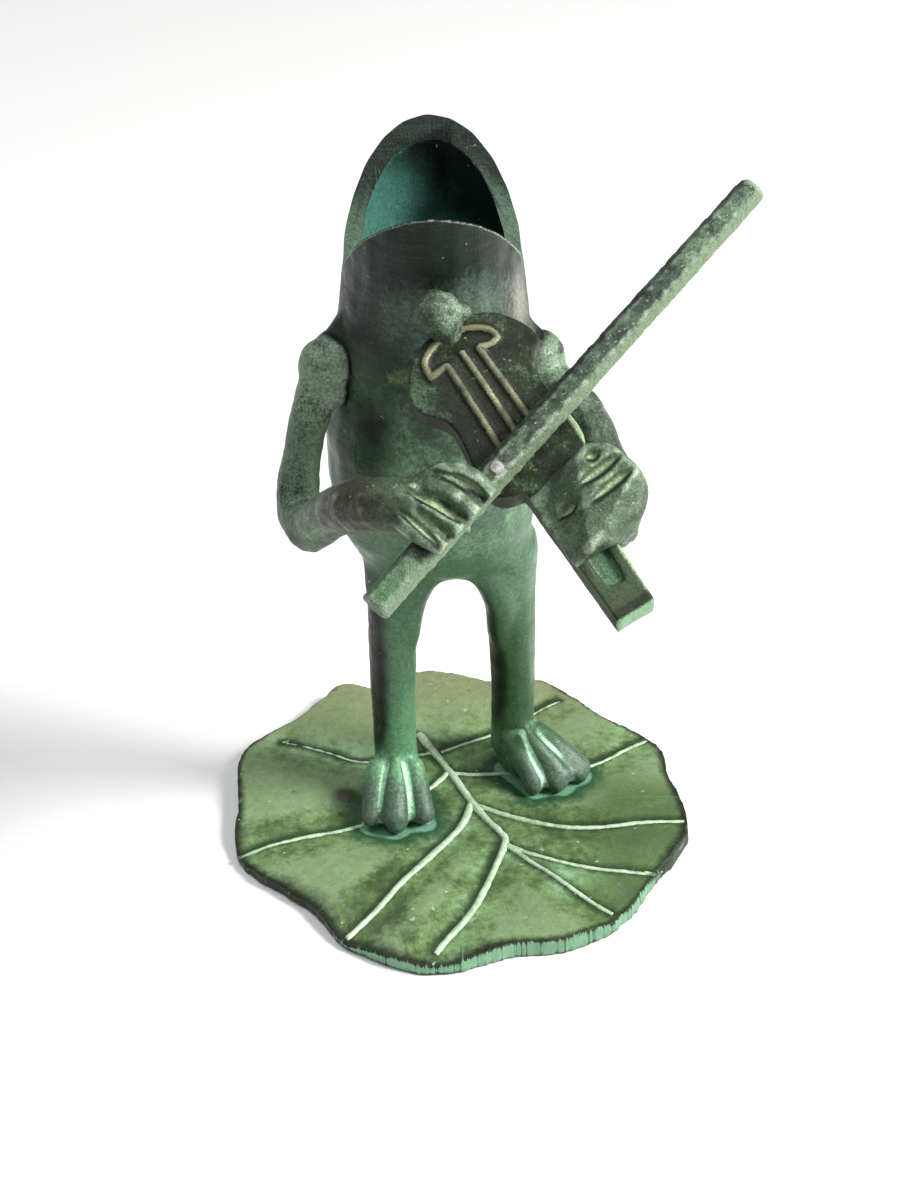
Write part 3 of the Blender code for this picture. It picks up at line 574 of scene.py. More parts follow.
leaf_stain = patina(
    "leaf_patina",
    ground=((0.0, tint(70, 92, 56)), (0.3, tint(92, 116, 72)), (0.5, tint(110, 138, 88)),
            (0.7, tint(120, 154, 104)), (0.85, tint(136, 174, 130)), (1.0, tint(152, 192, 152))),
    zones=(("vein", 6.0, 14.0, tint(130, 156, 112), 0.70, "cloud"),
           ("back", 25.0, 80.0, tint(138, 149, 108), 0.35, "cloud"),
           ("shade", 0.2, 0.9, tint(88, 114, 72), 0.45, "cloud"),
           # painted shade beside the ribs, on their side away from the window
           ("vein", 4.2, 0.6, tint(50, 70, 42), 0.32, "cloud"),
           # painted shade in a halo on the pad round the feet
           ("toes", 9.0, 1.0, tint(48, 88, 58), 0.35, "cloud"),
           ("toes", 1.2, -0.2, tint(124, 178, 146), 0.90, "cloud"),
           ("knob", 0.1, 0.7, tint(66, 74, 54), 0.25, "cloud"),
           # darker towards the rim: painted shade on the front-left slope, stain elsewhere
           ("rim", 9.0, 1.4, tint(38, 46, 30), 0.35, "cloud"),
           ("edge", 0.40, 0.80, tint(38, 52, 36), 0.25, "rays"),
           ("front_edge", 0.35, 0.80, tint(122, 166, 134), 1.70, "rays")),
    mottle=0.050, grain=(0.0008, 0.00022), speckled=0.28,
    flecks=((0.0035, 0.71, tint(170, 200, 166)), (0.0070, 0.70, tint(112, 114, 108))))
finish_piece(pad, leaf_stain, "leaf_bronze", "lily_pad_base")

# The veins are raised ribs of the same casting, rubbed back to a pale mint along their crests.
ribs = []
for number, (half_width, path) in enumerate(VEINS):
    picked = vein_paths[number][::5] + [vein_paths[number][-1]]
    last = len(picked) - 1
    route = [(p.x, p.y, pad_height(p.x, p.y) - 0.00050) for p in picked]
    widths = [half_width * (0.98 - 0.22 * i / last + 0.16 * noise.noise(Vector((i * 0.37, number, 0))))
              for i in range(last + 1)]
    ribs.append(rod(f"vein_{number}", route, widths, 4))
select_only(*ribs)
bpy.ops.object.join()
veins = bpy.context.object
veins.name = "lily_pad_veins"
veins.data.shade_smooth()
roughen(veins, 0.0025, 0.00022, 5)
places = points_of(veins)
note(veins, "rise", [1000 * (z - pad_height(x, y)) for x, y, z in places])
note(veins, "rim", [1000 * from_rim(x, y) for x, y, _ in places])
vein_stain = patina(
    "vein_patina",
    ground=((0.0, tint(158, 188, 154)), (0.5, tint(188, 214, 182)), (1.0, tint(208, 230, 204))),
    zones=(("rise", 0.24, -0.1, tint(78, 102, 68), 0.25, "cloud"),
           ("rim", 3.0, 0.5, tint(80, 100, 70), 0.3, "cloud")),
    mottle=0.014, grain=(0.0007, 0.00015), speckled=0.3)
finish_piece(veins, vein_stain, "leaf_bronze")


# ---------------------------------------------------------------- body
# The body is one hollow casting of head, torso, legs and webbed feet, about 5 mm thick, with the mouth filed
# open in a V. It is nearly black at the throat, brushed level by level, and turns emerald and mint downwards.

def from_cad(node, name):
    """A welded copy of a CAD casting, to be worked further."""
    copied = bpy.data.objects.new(name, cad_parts[node].data.copy())
    bpy.context.scene.collection.objects.link(copied)
    clean(copied)
    return copied


BODY_GRAIN = 0.00097
MOUTH_MIDDLE_Y = 0.008
MOUTH_CORNER_Z = 0.2209
JAW_RISE = 0.0365
JAW_REACHES = (0.0343, 0.0333)    # of the lower and the upper jaw, from the mouth's corners
SPARE_METAL = 0.0030
# Lines between the toes, in millimetres
TOE_GROOVES = (
    ((-26.2, 5.2, 25.0), (-28.3, -5.0, 15.5), (-29.4, -11.0, 8.0)),
    ((-19.8, 5.2, 25.0), (-18.4, -5.0, 15.5), (-17.6, -12.0, 8.0)),
    ((22.0, 19.5, 25.0), (27.0, 11.0, 15.5), (30.2, 5.5, 8.0)),
    ((28.0, 20.5, 25.0), (34.8, 14.8, 15.5), (40.2, 10.0, 8.0)),
)
# Underside of the crotch as (across, towards the back, up, radius, share of the depth that is filled there),
# in millimetres. The metal further back hangs lower, by the slope.
CROTCH = (
    (-20.0, 12, 66, 1.5, 0.0), (-17.0, 10, 84, 4.4, 0.25), (-14.4, 9, 102, 6.0, 0.70),
    (-8.3, 8.5, 112.2, 6.4, 1.0), (0.8, 8.5, 115.4, 6.4, 1.0), (9.0, 8.5, 111.8, 6.4, 1.0),
    (14.4, 10, 102, 6.1, 0.70), (15.6, 15, 84, 5.0, 0.25), (18.5, 20, 66, 1.5, 0.0),
)
CROTCH_SLOPE = 0.72
CROTCH_DEPTHS = (-7.0, -2.5, 2.0, 6.5)
HIP_SOFTENING = 40                # rounds of evening
GROOVE_DEPTH = 0.0014
GROOVE_HALF_WIDTH = 0.0014
MOUTH_FILED = 0.0004              # how far below the casting's own lip the mouth is filed
# (across, towards the back, up, radius) of the metal that runs from the neck to each shoulder
SLOPES = (
    ((-22, 3, 216, 7), (-28.5, 2, 204, 7), (-34, 1, 195, 8), (-39, 0, 189, 8.5)),
    ((15, 3, 216, 7), (19.5, 2, 204, 7), (25, 1, 195, 8), (31, 0, 189, 8.5)),
)


def lip_height(y):
    """How high the mouth's edge lies there."""
    lower, upper = JAW_REACHES
    off = y - MOUTH_MIDDLE_Y
    return MOUTH_CORNER_Z + JAW_RISE * np.where(off > 0, off / upper, -off / lower)


blank = from_cad("body_casting", "body_blank")
places = points_of(blank)
places[:, 2] += SPARE_METAL * (places[:, 2] > lip_height(places[:, 1]) - 0.0003)
put_points(blank, places)
toes = []
for i, (root, tip, thick, thin) in enumerate(TOES):
    root, tip = Vector(root), Vector(tip)
    knuckle = root * 0.5 + tip * 0.5 + Vector((0, 0, 0.8))
    end = tip + (tip - root).normalized() * 2.2 - Vector((0, 0, 0.6))
    toes.append(rod(f"toe_{i}", [place / 1000 for place in (root, knuckle, tip, end)],
                    (thick, (thick + thin) / 2, thin, thin * 0.62)))
arches = []
for depth in CROTCH_DEPTHS:
    route = [(x, y + depth * spread, z) for x, y, z, _, spread in CROTCH]
    lowered = [(x / 1000, y / 1000, (z - CROTCH_SLOPE * y) / 1000) for x, y, z in route]
    arches.append(rod(f"arch_{depth}", lowered, [radius for _, _, _, radius, _ in CROTCH]))
slopes = [rod(f"slope_{i}", [Vector(p[:3]) / 1000 for p in path], [p[3] for p in path])
          for i, path in enumerate(SLOPES)]
body = cast("body", [blank, *toes, *arches, *slopes], BODY_GRAIN, 9)
places = points_of(body)
hips = np.exp(-((places[:, 2] - 0.108) / 0.018) ** 2)[:, None]
put_points(body, places + hips * (evened(body, places, HIP_SOFTENING) - places))
roughen(body, 0.016, 0.00035, 11)
roughen(body, 0.005, 0.00012, 12)

places = points_of(body)
between = line_gap(places, TOE_GROOVES)
sunk = GROOVE_DEPTH * np.exp(-(between / GROOVE_HALF_WIDTH) ** 2)
put_points(body, places - normals_of(body) * sunk[:, None])

deselect()
bpy.ops.mesh.primitive_cube_add(size=0.16, location=(0, MOUTH_MIDDLE_Y, MOUTH_CORNER_Z + 0.08))
file_cut = bpy.context.object
for point in file_cut.data.vertices:
    reach = JAW_REACHES[1] if point.co.y > 0 else -JAW_REACHES[0]
    point.co.y = 0 if point.co.z < 0 else 0.16 / JAW_RISE * reach
    point.co.z -= MOUTH_FILED
opening = body.modifiers.new("mouth", "BOOLEAN")
opening.object = file_cut
opening.operation = "DIFFERENCE"
apply_all(body)
bpy.data.objects.remove(file_cut)

places = points_of(body)
ways = normals_of(body)
on_cut = np.abs(places[:, 2] + MOUTH_FILED - lip_height(places[:, 1])) < 0.00008
note(body, "rim", on_cut.astype(float))
note(body, "height", places[:, 2] * 1000)
axis = np.array([-0.0045, MOUTH_MIDDLE_Y])
off_axis = np.linalg.norm(places[:, :2] - axis, axis=1)
facing_in = (ways[:, :2] * (places[:, :2] - axis)).sum(1) < 0
inner = evened(body, (facing_in & (places[:, 2] > 0.118) & (off_axis < 0.0325) & ~on_cut).astype(float), 2)
note(body, "inner", inner)
# Painted shade inside the mouth, deepening towards its right wall, which faces away from the window, and
# towards its top.
note(body, "inner_painted_shade", inner * np.clip(0.30 + places[:, 0] * 20 + (places[:, 2] - 0.222) * 16, 0, 1))
note(body, "rim_top", on_cut * np.clip((places[:, 2] - 0.228) / 0.016, 0, 1))
on_the_left = np.clip((places[:, 0] - 0.004) / 0.01, 0, 1)
note(body, "left_leg", on_the_left * np.clip((0.105 - places[:, 2]) / 0.03, 0, 1))
note(body, "brushed", np.clip((places[:, 2] - 0.150) / 0.05, 0, 1) * (inner < 0.1))
# Painted shade on the sides of the legs that face left, away from the window.
legs = np.clip((0.135 - places[:, 2]) / 0.06, 0.2, 1) * np.clip((places[:, 2] - 0.02) / 0.02, 0, 1)
note(body, "painted_shade_left_side", evened(body, -ways[:, 0], 10) * legs)
note(body, "between_toes", line_gap(places, TOE_GROOVES) * 1000)
toe_tips = np.min([np.linalg.norm(places - np.array(tip) / 1000, axis=1) for _, tip, _, _ in TOES], axis=0)
note(body, "toe_tip", toe_tips * 1000)
# Painted shadow on the chest just inside the right upper arm.
note(body, "painted_arm_shadow", spot_gap(places * (1, 1, 0.7), (-24, -20, 179 * 0.7), 10))
note(body, "lime", spot_gap(places * (0.6, 1, 1.3), (-14 * 0.6, -24, 199 * 1.3), 7))
lip = 1 - np.abs(lip_height(places[:, 1]) - MOUTH_FILED - places[:, 2]) / 0.0013
note(body, "lip", lip * (places[:, 1] < MOUTH_MIDDLE_Y - 0.004) * ~facing_in)
note(body, "pale", spot_gap(places * (1, 1, 0.8), (-31, -10, 163), 17))
# Painted highlight: a pale reflection of the window on the flank facing it, below the jaw.
note(body, "painted_flank_highlight", spot_gap(places * (1, 1, 0.6), (25, -5, 213 * 0.6), 13))
# Painted sheen across the middle of the throat.
note(body, "painted_sheen", spot_gap(places * (0.45, 1, 1), (3, -24, 219), 19))
find_hollows(body)
body.data.shade_smooth()
body.data.set_sharp_from_angle(angle=math.radians(50))

body_stain = patina(
    "body_patina",
    ground=((0.0, tint(38, 54, 40)), (0.35, tint(56, 78, 58)), (0.65, tint(74, 104, 78)),
            (0.85, tint(92, 126, 96)), (1.0, tint(116, 150, 118))),
    zones=(("height", 165.0, 105.0, tint(80, 113, 86), 0.25, "cloud"),
           ("pale", 0.0, 0.9, tint(104, 128, 96), 0.40, "cloud"),
           ("height", 70.0, 30.0, tint(104, 152, 114), 0.35, "cloud"),
           ("left_leg", 0.3, 1.2, tint(62, 92, 62), 0.30, "cloud"),
           # painted shade on the left-facing sides of the legs
           ("painted_shade_left_side", 0.05, 0.50, tint(10, 20, 9), 0.20, "cloud"),
           ("height", 184.0, 212.0, tint(20, 32, 25), 0.30, "cloud"),
           # painted sheen on the throat
           ("painted_sheen", 0.0, 1.0, tint(102, 124, 110), 0.35, "cloud"),
           # painted highlight on the flank facing the window
           ("painted_flank_highlight", 0.1, 1.0, tint(148, 150, 138), 0.30, "cloud"),
           # painted shadow beside the right arm
           ("painted_arm_shadow", 0.0, 0.7, tint(20, 31, 18), 0.80, "cloud"),
           ("lime", 0.1, 0.9, tint(98, 118, 76), 0.80, "cloud"),
           ("lip", 0.2, 0.8, tint(142, 154, 144), 0.40, "cloud"),
           ("inner", 0.4, 0.8, tint(72, 124, 112), 0.40, "cloud"),
           # painted shade inside the mouth
           ("inner_painted_shade", 0.0, 0.65, tint(4, 9, 7), 0.25, "cloud"),
           # painted shade round the shoulders where the arms meet the body
           ("painted_crease_shade", 2.0, 0.4, tint(14, 22, 14), 0.30, "cloud"),
           ("toe_tip", 19.0, 9.0, tint(84, 106, 90), 0.40, "cloud"),
           ("toe_tip", 5.5, 2.5, tint(100, 112, 108), 0.50, "cloud"),
           ("hollow", 0.10, 0.40, tint(120, 168, 132), 0.20, "cloud"),
           ("between_toes", 1.7, 1.0, tint(178, 226, 190), 0.15, "cloud"),
           ("rim", 0.4, 0.6, tint(80, 104, 86), 0.10, "rays"),
           ("rim_top", 0.1, 0.8, tint(24, 33, 28), 0.20, "rays")),
    mottle=0.026, grain=(0.0007, 0.00022), rough=(0.28, 0.50),
    flecks=((0.0022, 0.72, tint(130, 150, 124)),),
    brushed=("brushed", 0.1, 0.9))
finish_piece(body, body_stain, "figure_bronze", "body_casting")


# ---------------------------------------------------------------- arms
# Each arm is a casting of its own, brazed on with a lump at the shoulder, and its hand was closed round the
# bow or over the violin's neck. Pale stain lies in the grooves between the fingers.

def ball(name, middle, radii):
    """A ball, with its middle and three radii in millimetres."""
    deselect()
    bpy.ops.mesh.primitive_uv_sphere_add(segments=32, ring_count=18, radius=0.001,
                                         location=Vector(middle) / 1000)
    made = bpy.context.object
    made.name = name
    made.scale = radii
    bpy.ops.object.transform_apply(location=True, rotation=True, scale=True)
    return made


# The violin's own axes: along its neck, across it, and out of its face. Its tail is where they start.
TAIL = Vector((0.0010, -0.0310, 0.2204))
along = Vector((0.500, -0.691, -0.522)).normalized()
facing = Vector((-0.022, -0.612, 0.790))
facing = (facing - along * facing.dot(along)).normalized()
across = facing.cross(along)
on_violin = Matrix((along, across, facing)).transposed().to_4x4()
on_violin.translation = TAIL


def seen_on_violin(places):
    """The places measured in metres along, across and out of the violin."""
    return (places - np.array(TAIL)) @ np.array((along, across, facing)).T


ARM_GRAIN = 0.0007
UPPER_ARM_SLIMMER = 0.0009
UPPER_ARM_OUT = 0.0012
SHADOW_SIDE = (-0.0011, 0.0004, 0)    # from the pale middle of a groove towards its dark side
GROOVE_POINT = 0.0013
# (along, across) on the violin, in millimetres
RIGHT_GROOVES = (
    ((39.8, -30.0, 0), (45.4, -25.4, 0), (50.8, -22.0, 0), (55.4, -20.7, 0)),
    ((40.6, -39.4, 0), (50.1, -33.6, 0), (56.5, -31.0, 0)),
    ((45.0, -44.4, 0), (54.3, -41.4, 0), (59.5, -40.3, 0)),
)
LEFT_GROOVES = (
    ((64.3, 5.5, 0), (63.4, 14.0, 0), (62.7, 21.0, 0)),
    ((70.6, 6.0, 0), (69.0, 15.0, 0), (68.3, 21.5, 0)),
    ((68.4, -4.0, 0), (67.9, 2.0, 0)),
    ((58.2, 12.0, 0), (58.8, 16.0, 0)),
)
# Ridges of the left hand's back, each as two places on the violin, past which the hand slopes away
LEFT_RIDGES = (((57.0, 9.5), (80.5, -1.0)), ((81.0, 2.0), (72.5, 17.0)))
RIDGE_SLOPE = 0.55
HAND_OUTLINE = ((54, 14.4), (56, 18.9), (58.6, 21.4), (63.3, 23), (70.1, 23.9), (75.1, 23), (79.1, 19.8),
                (81.5, 15.9), (82.8, 9.3), (82.9, 2.8), (83.1, -3.2), (79.8, -4.4), (72.6, -5.9), (65.8, -5.2),
                (61.1, -2.9), (57, 2.5), (54.8, 9.8))
PALM_OUTLINE = ((55, 9), (57, 19), (64, 22), (75, 21.5), (81, 15), (82, 9), (70, 8.5), (60, 8.5))


def rounded_slab(name, outline, start, thickness, rounding):
    """A plate in the violin's axes with round corners all over."""
    made = slab(name, [tuple(p) for p in through(outline, 0.002, closed=True)], start, thickness, on_violin)
    corners = made.modifiers.new("corners", "BEVEL")
    corners.width = rounding
    corners.segments = 4
    corners.angle_limit = math.radians(50)
    apply_all(made)
    return made


def arm_finish(name):
    return patina(
        name,
        ground=((0.0, tint(50, 61, 49)), (0.4, tint(78, 94, 78)), (0.7, tint(98, 118, 98)),
                (1.0, tint(130, 152, 126))),
        zones=(("upper", 0.0, 0.8, tint(102, 122, 102), 1.20, "cloud"),
               ("shoulder", 0.0, 0.7, tint(128, 150, 126), 0.90, "cloud"),
               ("wrist", 0.0, 0.7, tint(56, 58, 45), 0.60, "cloud"),
               ("hand", 0.0, 0.9, tint(66, 84, 60), 1.20, "cloud"),
               ("hollow", -0.13, -0.38, tint(138, 158, 134), 0.60, "cloud"),
               # painted shade in the hollows and finger grooves
               ("hollow", 0.14, 0.45, tint(34, 46, 30), 0.20, "cloud"),
               # painted shade where the piece meets the body
               ("painted_crease_shade", 1.4, 0.3, tint(20, 28, 18), 0.30, "cloud"),
               ("shadow", 2.4, 0.8, tint(24, 33, 21), 0.35, "cloud"),
               ("groove", 1.5, 0.5, tint(132, 152, 118), 0.35, "cloud")),
        mottle=0.014, grain=(0.0007, 0.00032), rough=(0.32, 0.56), speckled=0.85,
        flecks=((0.0014, 0.69, tint(140, 156, 134)), (0.0030, 0.71, tint(100, 142, 100))))


# (side, parts, grooves, their half width, their depth, lowest height on the violin, and in millimetres the
# middles of the stains at shoulder, wrist and hand)
right_parts = [
    from_cad("right_arm_casting", "right_core"),
    ball("right_lump", (-35.0, -1.0, 194.0), (8.5, 10.5, 9.5)),
    ball("right_lump_low", (-37.0, -6.0, 187.0), (6.5, 7.0, 8.0)),
]
left_parts = [
    from_cad("left_arm_casting", "left_core"),
    ball("left_lump", (29.5, 0.0, 190.0), (8.5, 10.0, 10.5)),
    rounded_slab("left_hand_back", HAND_OUTLINE, -0.003, 0.0108, 0.0032),
    rounded_slab("left_palm", PALM_OUTLINE, -0.015, 0.018, 0.0035),
]
ARMS = (
    ("right", right_parts, RIGHT_GROOVES, 0.0015, 0.0018, 0.009,
     (-37, -3, 191), (-31, -76, 185), (-6, -90, 193)),
    ("left", left_parts, LEFT_GROOVES, 0.0014, 0.0019, 0.0005,
     (31, 0, 189), (62, -48, 176), (44, -79, 191)),
)
arm_stain = arm_finish("arm_patina")
body_places = points_of(body)
near_arms = np.full(len(body_places), 1.0)
at_shoulders = (np.abs(body_places[:, 2] - 0.1825) < 0.0325) & (np.abs(body_places[:, 0]) > 0.018)
for side_name, parts, grooves, half, depth, lowest, shoulder, wrist, hand in ARMS:
    arm = cast(f"{side_name}_arm", parts, ARM_GRAIN, 6)
    if side_name == "right":
        places = points_of(arm)
        upper = np.exp(-((places[:, 2] - 0.168) / 0.016) ** 2) * (places[:, 0] < -0.033)
        upper = evened(arm, upper, 12)[:, None]
        put_points(arm, places - normals_of(arm) * upper * UPPER_ARM_SLIMMER - upper * (UPPER_ARM_OUT, 0, 0))
    roughen(arm, 0.009, 0.00040, 21)
    roughen(arm, 0.003, 0.00022, 22)
    places = points_of(arm)
    seen = seen_on_violin(places)
    if side_name == "left":
        for (a0, c0), (a1, c1) in LEFT_RIDGES:
            way = np.array((a1 - a0, c1 - c0)) / math.hypot(a1 - a0, c1 - c0)
            past = (seen[:, 0] - a0 / 1000) * way[1] - (seen[:, 1] - c0 / 1000) * way[0]
            height = np.clip(seen[:, 2] / 0.007, 0, 1)
            slid = np.clip(past, 0, 0.009) * RIDGE_SLOPE * height
            places -= np.outer(slid, np.array(facing))
        put_points(arm, places)
        seen = seen_on_violin(places)
    flat = seen * (1, 1, 0)
    too_low = np.clip(lowest - seen[:, 2], 0, 1)
    gap = line_gap(flat, grooves, GROOVE_POINT) + too_low
    shadow = line_gap(flat + SHADOW_SIDE, grooves, GROOVE_POINT) + too_low
    put_points(arm, places - normals_of(arm) * (depth * np.exp(-(gap / half) ** 2))[:, None])
    note(arm, "groove", gap * 1000)
    note(arm, "shadow", shadow * 1000)
    note(arm, "shoulder", spot_gap(places, shoulder, 22))
    note(arm, "wrist", spot_gap(places, wrist, 30))
    note(arm, "hand", spot_gap(places, hand, 22))
    note(arm, "upper", spot_gap(places, (-47, -18, 172), 24))
    # Painted shade on the arm where it meets the body.
    note(arm, "painted_crease_shade", gap_to(places, body_places) * 1000)
    near_arms[at_shoulders] = np.minimum(near_arms[at_shoulders], gap_to(body_places[at_shoulders], places))
    find_hollows(arm, rounds=14)
    finish_piece(arm, arm_stain, "figure_bronze", f"{side_name}_arm_casting")
# Painted shade on the body round the shoulders, where the arms meet it.
note(body, "painted_crease_shade", near_arms * 1000)


# ---------------------------------------------------------------- violin
# The violin is a flat casting, its strings and tailpiece raised on its face, with a channelled neck. Its face
# is stained dark olive, the raised lines are rubbed pale, and green stain has gathered in the channel.

VIOLIN_THICK = 0.011
VIOLIN_GRAIN = 0.0006
NECK_END = 0.1045
# (along, across) in millimetres, from the tail round the left side of the figure
BODY_OUTLINE = (
    (-2.3, 0), (-1.5, 9.5), (2.0, 15.5), (6.7, 19.4), (11.8, 21.6), (16.8, 22.3), (16.8, 22.3), (18.8, 19.0),
    (22.1, 17.0), (27.2, 15.7), (33.6, 15.5), (40, 16.6), (47, 17.2), (52, 15.8), (54.5, 12), (55.5, 7.5),
    (55.5, 7.5), (55.5, -7.5), (55.5, -7.5), (54.5, -12), (52, -15.8), (47, -17.2), (40, -16.6), (35.7, -15.9),
    (32.2, -15.3), (28.3, -15.0), (24.2, -15.8), (21.2, -17.8), (18.3, -20.4), (14.6, -21.5), (9.9, -20.6),
    (6.5, -18.4), (2.6, -15.1), (1.0, -13.0), (-1.5, -7.6),
)
NECK_OUTLINE = ((0.050, -0.0078), (NECK_END, -0.0064), (NECK_END, 0.0066), (0.050, 0.0078))
CHANNEL_OUTLINE = ((0.058, -0.0040), (0.088, -0.0036), (0.0935, -0.0024), (0.0945, 0.0026), (0.088, 0.0032),
                   (0.058, 0.0030))
CHANNEL_DEPTH = 0.0016
TAILPIECE = ((8.9, -6.0), (9.6, -12.2), (9.6, -12.2), (4.9, -11.6), (2.4, -8.5), (0.9, -4.0), (0.9, 1.6),
             (2.8, 7.1), (6.0, 10.9), (9.2, 11.6), (10.0, 8.4), (8.6, 5.0))
STRINGS = (((8.6, -6.0), (24, -6.3), (39.6, -6.6)), ((7.0, 0.0), (22, 0.1), (38.5, 0.0)),
           ((8.6, 5.0), (23, 5.5), (38.5, 6.0)))
STRING_RADIUS = 1.25
TAILPIECE_RADIUS = 1.15

face_lines = [[on_violin @ Vector((*p[:2], -0.00012)) for p in through(path, 0.0015)]
              for path in (TAILPIECE, *STRINGS)]
raised = [rod(f"raised_{i}", line, [TAILPIECE_RADIUS if i == 0 else STRING_RADIUS] * len(line), 4)
          for i, line in enumerate(face_lines)]
outline = [tuple(p) for p in through(BODY_OUTLINE, 0.0012, closed=True)]
plate = slab("violin_plate", outline, -VIOLIN_THICK, VIOLIN_THICK, on_violin)
neck = slab("violin_neck", NECK_OUTLINE, -VIOLIN_THICK, VIOLIN_THICK, on_violin)
channel = slab("violin_channel", CHANNEL_OUTLINE, -CHANNEL_DEPTH, 0.01, on_violin)
sunk = neck.modifiers.new("channel", "BOOLEAN")
sunk.object = channel
sunk.operation = "DIFFERENCE"
apply_all(neck)
bpy.data.objects.remove(channel)

violin = cast("violin", [plate, neck, *raised], VIOLIN_GRAIN, 5)
roughen(violin, 0.008, 0.00025, 51)
roughen(violin, 0.0025, 0.00010, 52)
places = points_of(violin)
seen = seen_on_violin(places)
crest = line_gap(places, [[tuple(p * 1000) for p in line] for line in face_lines])
note(violin, "raised", np.where(seen[:, 2] > 0.0003, crest, 0.01) * 1000)
# Painted shade on the face beside the raised lines.
note(violin, "painted_shade_beside_lines", np.where(seen[:, 2] > -0.0010, crest, 0.01) * 1000)
note(violin, "side", evened(violin, (np.abs(normals_of(violin) @ np.array(facing)) < 0.5).astype(float), 2))
note(violin, "end", seen[:, 0] * 1000)
wider_than_neck = np.where(seen[:, 0] > 0.08, 0, np.where(seen[:, 0] > 0.042, 9.3, 40))
note(violin, "right_edge", seen[:, 1] * 1000 - wider_than_neck)
in_channel = (seen[:, 0] > 0.0585) & (seen[:, 0] < 0.0945) & (np.abs(seen[:, 1]) < 0.0040)
in_channel &= (seen[:, 2] < -0.0008) & (seen[:, 2] > -0.004)
note(violin, "channel", evened(violin, in_channel.astype(float), 2))
note(violin, "left_bout", -seen[:, 1] * 1000 + np.where(seen[:, 0] < 0.035, 0, -10))
find_hollows(violin)
violin_stain = patina(
    "violin_patina",
    ground=((0.0, tint(19, 25, 16)), (0.5, tint(30, 39, 25)), (0.8, tint(42, 54, 36)),
            (1.0, tint(74, 94, 66))),
    zones=(("left_bout", 12.0, 25.0, tint(72, 100, 74), 0.60, "cloud"),
           # painted shade beside the raised lines
           ("painted_shade_beside_lines", 2.9, 1.5, tint(30, 34, 24), 0.25, "cloud"),
           ("side", 0.4, 0.8, tint(42, 42, 32), 0.20, "cloud"),
           ("raised", 1.45, 0.85, tint(142, 144, 114), 0.20, "cloud"),
           ("end", 70.0, 92.0, tint(62, 76, 54), 0.30, "cloud"),
           ("channel", 0.3, 1.3, tint(84, 118, 90), 1.00, "cloud"),
           ("right_edge", 5.6, 6.8, tint(140, 162, 126), 0.50, "cloud"),
           ("end", 99.8, 101.6, tint(40, 46, 34), 0.50, "cloud"),
           ("end", 103.4, 104.2, tint(120, 162, 124), 0.40, "cloud")),
    mottle=0.016, grain=(0.0007, 0.00022),
    flecks=((0.0020, 0.70, tint(96, 126, 86)),))
finish_piece(violin, violin_stain, "violin_bronze", "violin_casting")


# ---------------------------------------------------------------- bow
# The bow is a plain faceted cast bar with a pitted skin, held in the right hand and riveted to the violin. It
# is dark on top, with painted light making its underside paler, and greener at its heel.

BOW_HEEL = (-26.9, -107.4, 167.2)
BOW_TIP = (98.2, -1.2, 255.1)
BOW_GRAIN = 0.0006
BOW_SWELL = 0.00050

bow = cast("bow", [from_cad("bow_casting", "bow_core")], BOW_GRAIN, 3)
put_points(bow, points_of(bow) + normals_of(bow) * BOW_SWELL)
roughen(bow, 0.0028, 0.00030, 31)
roughen(bow, 0.0012, 0.00015, 32)
find_hollows(bow)
places = points_of(bow)
reach = (places - np.array(BOW_HEEL) / 1000) @ np.array((Vector(BOW_TIP) - Vector(BOW_HEEL)).normalized())
note(bow, "heel", reach * 1000)
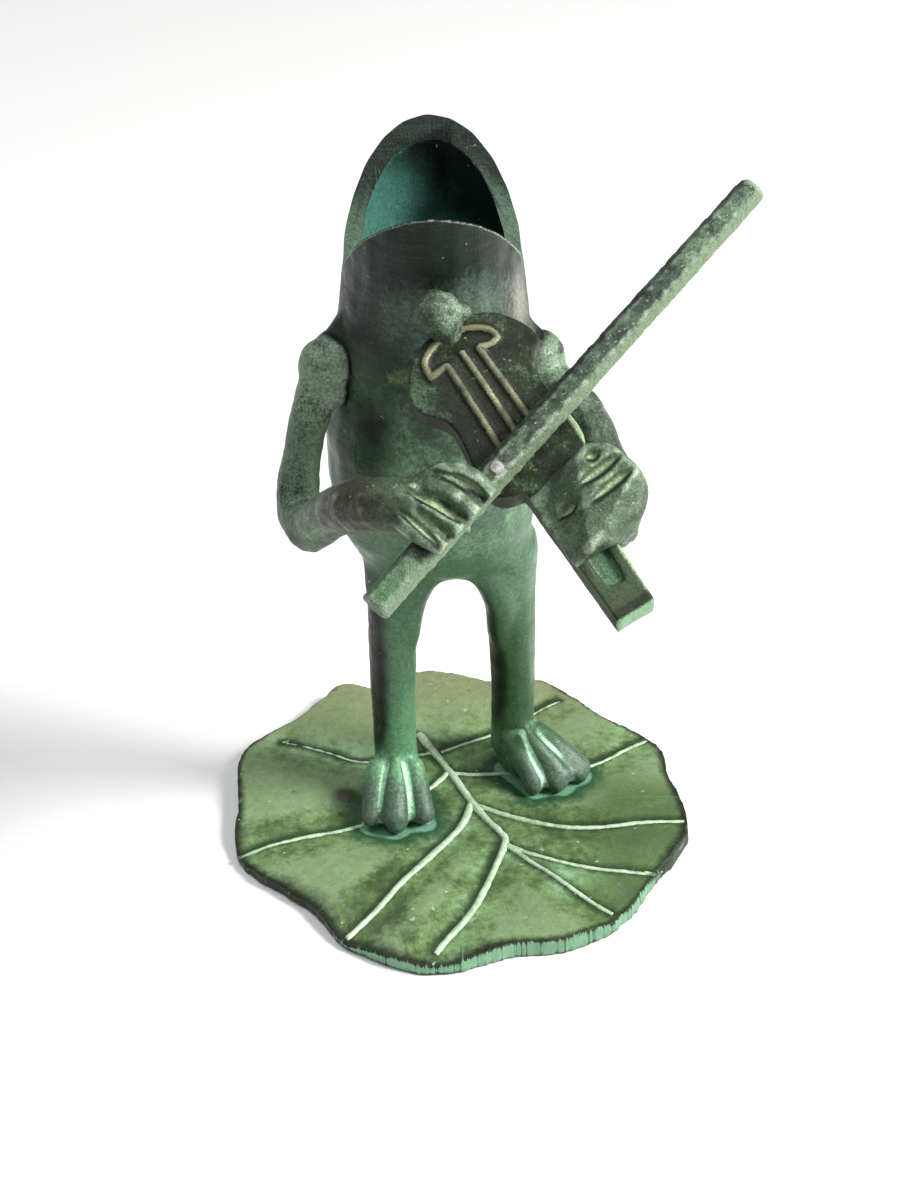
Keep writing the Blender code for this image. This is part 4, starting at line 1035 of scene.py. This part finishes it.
# Painted light on the side of the bow that faces down and to the right, towards the window.
painted_lit_underside = normals_of(bow) @ np.array(along)
note(bow, "painted_lit_underside", evened(bow, painted_lit_underside, 2))
bow_stain = patina(
    "bow_patina",
    ground=((0.0, tint(34, 42, 34)), (0.45, tint(56, 70, 57)), (0.75, tint(76, 94, 76)),
            (1.0, tint(108, 128, 105))),
    zones=(("heel", 30.0, 14.0, tint(78, 112, 80), 0.40, "cloud"),
           # painted light on the underside
           ("painted_lit_underside", 0.40, 0.85, tint(112, 132, 104), 0.80, "cloud"),
           ("hollow", -0.14, -0.34, tint(130, 146, 128), 0.50, "cloud"),
           ("hollow", 0.06, 0.20, tint(34, 42, 32), 0.25, "cloud")),
    mottle=0.010, grain=(0.0006, 0.00035),
    flecks=((0.0011, 0.66, tint(150, 172, 150)), (0.0011, 0.70, tint(34, 42, 34))))
finish_piece(bow, bow_stain, "bow_bronze", "bow_casting")


# ---------------------------------------------------------------- stud
# A round-headed stud in the chest holds the violin's tail. A lug and a lump of brazing metal join its head to
# the violin.

stud = cast("stud", [
    from_cad("violin_stud", "stud_core"),
    rod("stud_lug", [on_violin @ (Vector(p) / 1000) for p in ((-6, -1, 4), (-2, 0, -1), (1, 1, -5))],
        (5.4, 5.6, 5)),
    ball("stud_lump", on_violin @ Vector((-0.0035, 0.0062, -0.0005)) * 1000, (3.6, 3.4, 3.4)),
], 0.0006, 5)
roughen(stud, 0.004, 0.0006, 41)
find_hollows(stud, rounds=5)
places = points_of(stud)
note(stud, "shoulder", spot_gap(places, (2, -32, 228), 7))
note(stud, "wrist", np.full(len(places), -1.0))
note(stud, "hand", np.full(len(places), -1.0))
note(stud, "upper", np.full(len(places), -1.0))
# Painted shade where the stud meets the body.
note(stud, "painted_crease_shade", gap_to(places, body_places) * 1000)
note(stud, "groove", np.full(len(places), 9.0))
note(stud, "shadow", np.full(len(places), 9.0))
finish_piece(stud, arm_finish("stud_patina"), "figure_bronze", "violin_stud")


# ---------------------------------------------------------------- fixings
# A rivet head filed bright on the bow, and plated steel screws, washers, pins and a nut, dulled by age.

steel = patina(
    "dull_steel",
    ground=((0.0, tint(120, 122, 116)), (1.0, tint(176, 178, 172))),
    zones=(), mottle=0.004, grain=(0.0005, 0.0001), rough=(0.3, 0.45),
    flecks=((0.0012, 0.68, tint(70, 84, 66)),))
for node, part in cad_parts.items():
    if not part.hide_render:
        part.data.materials.clear()
        part.data.materials.append(steel)
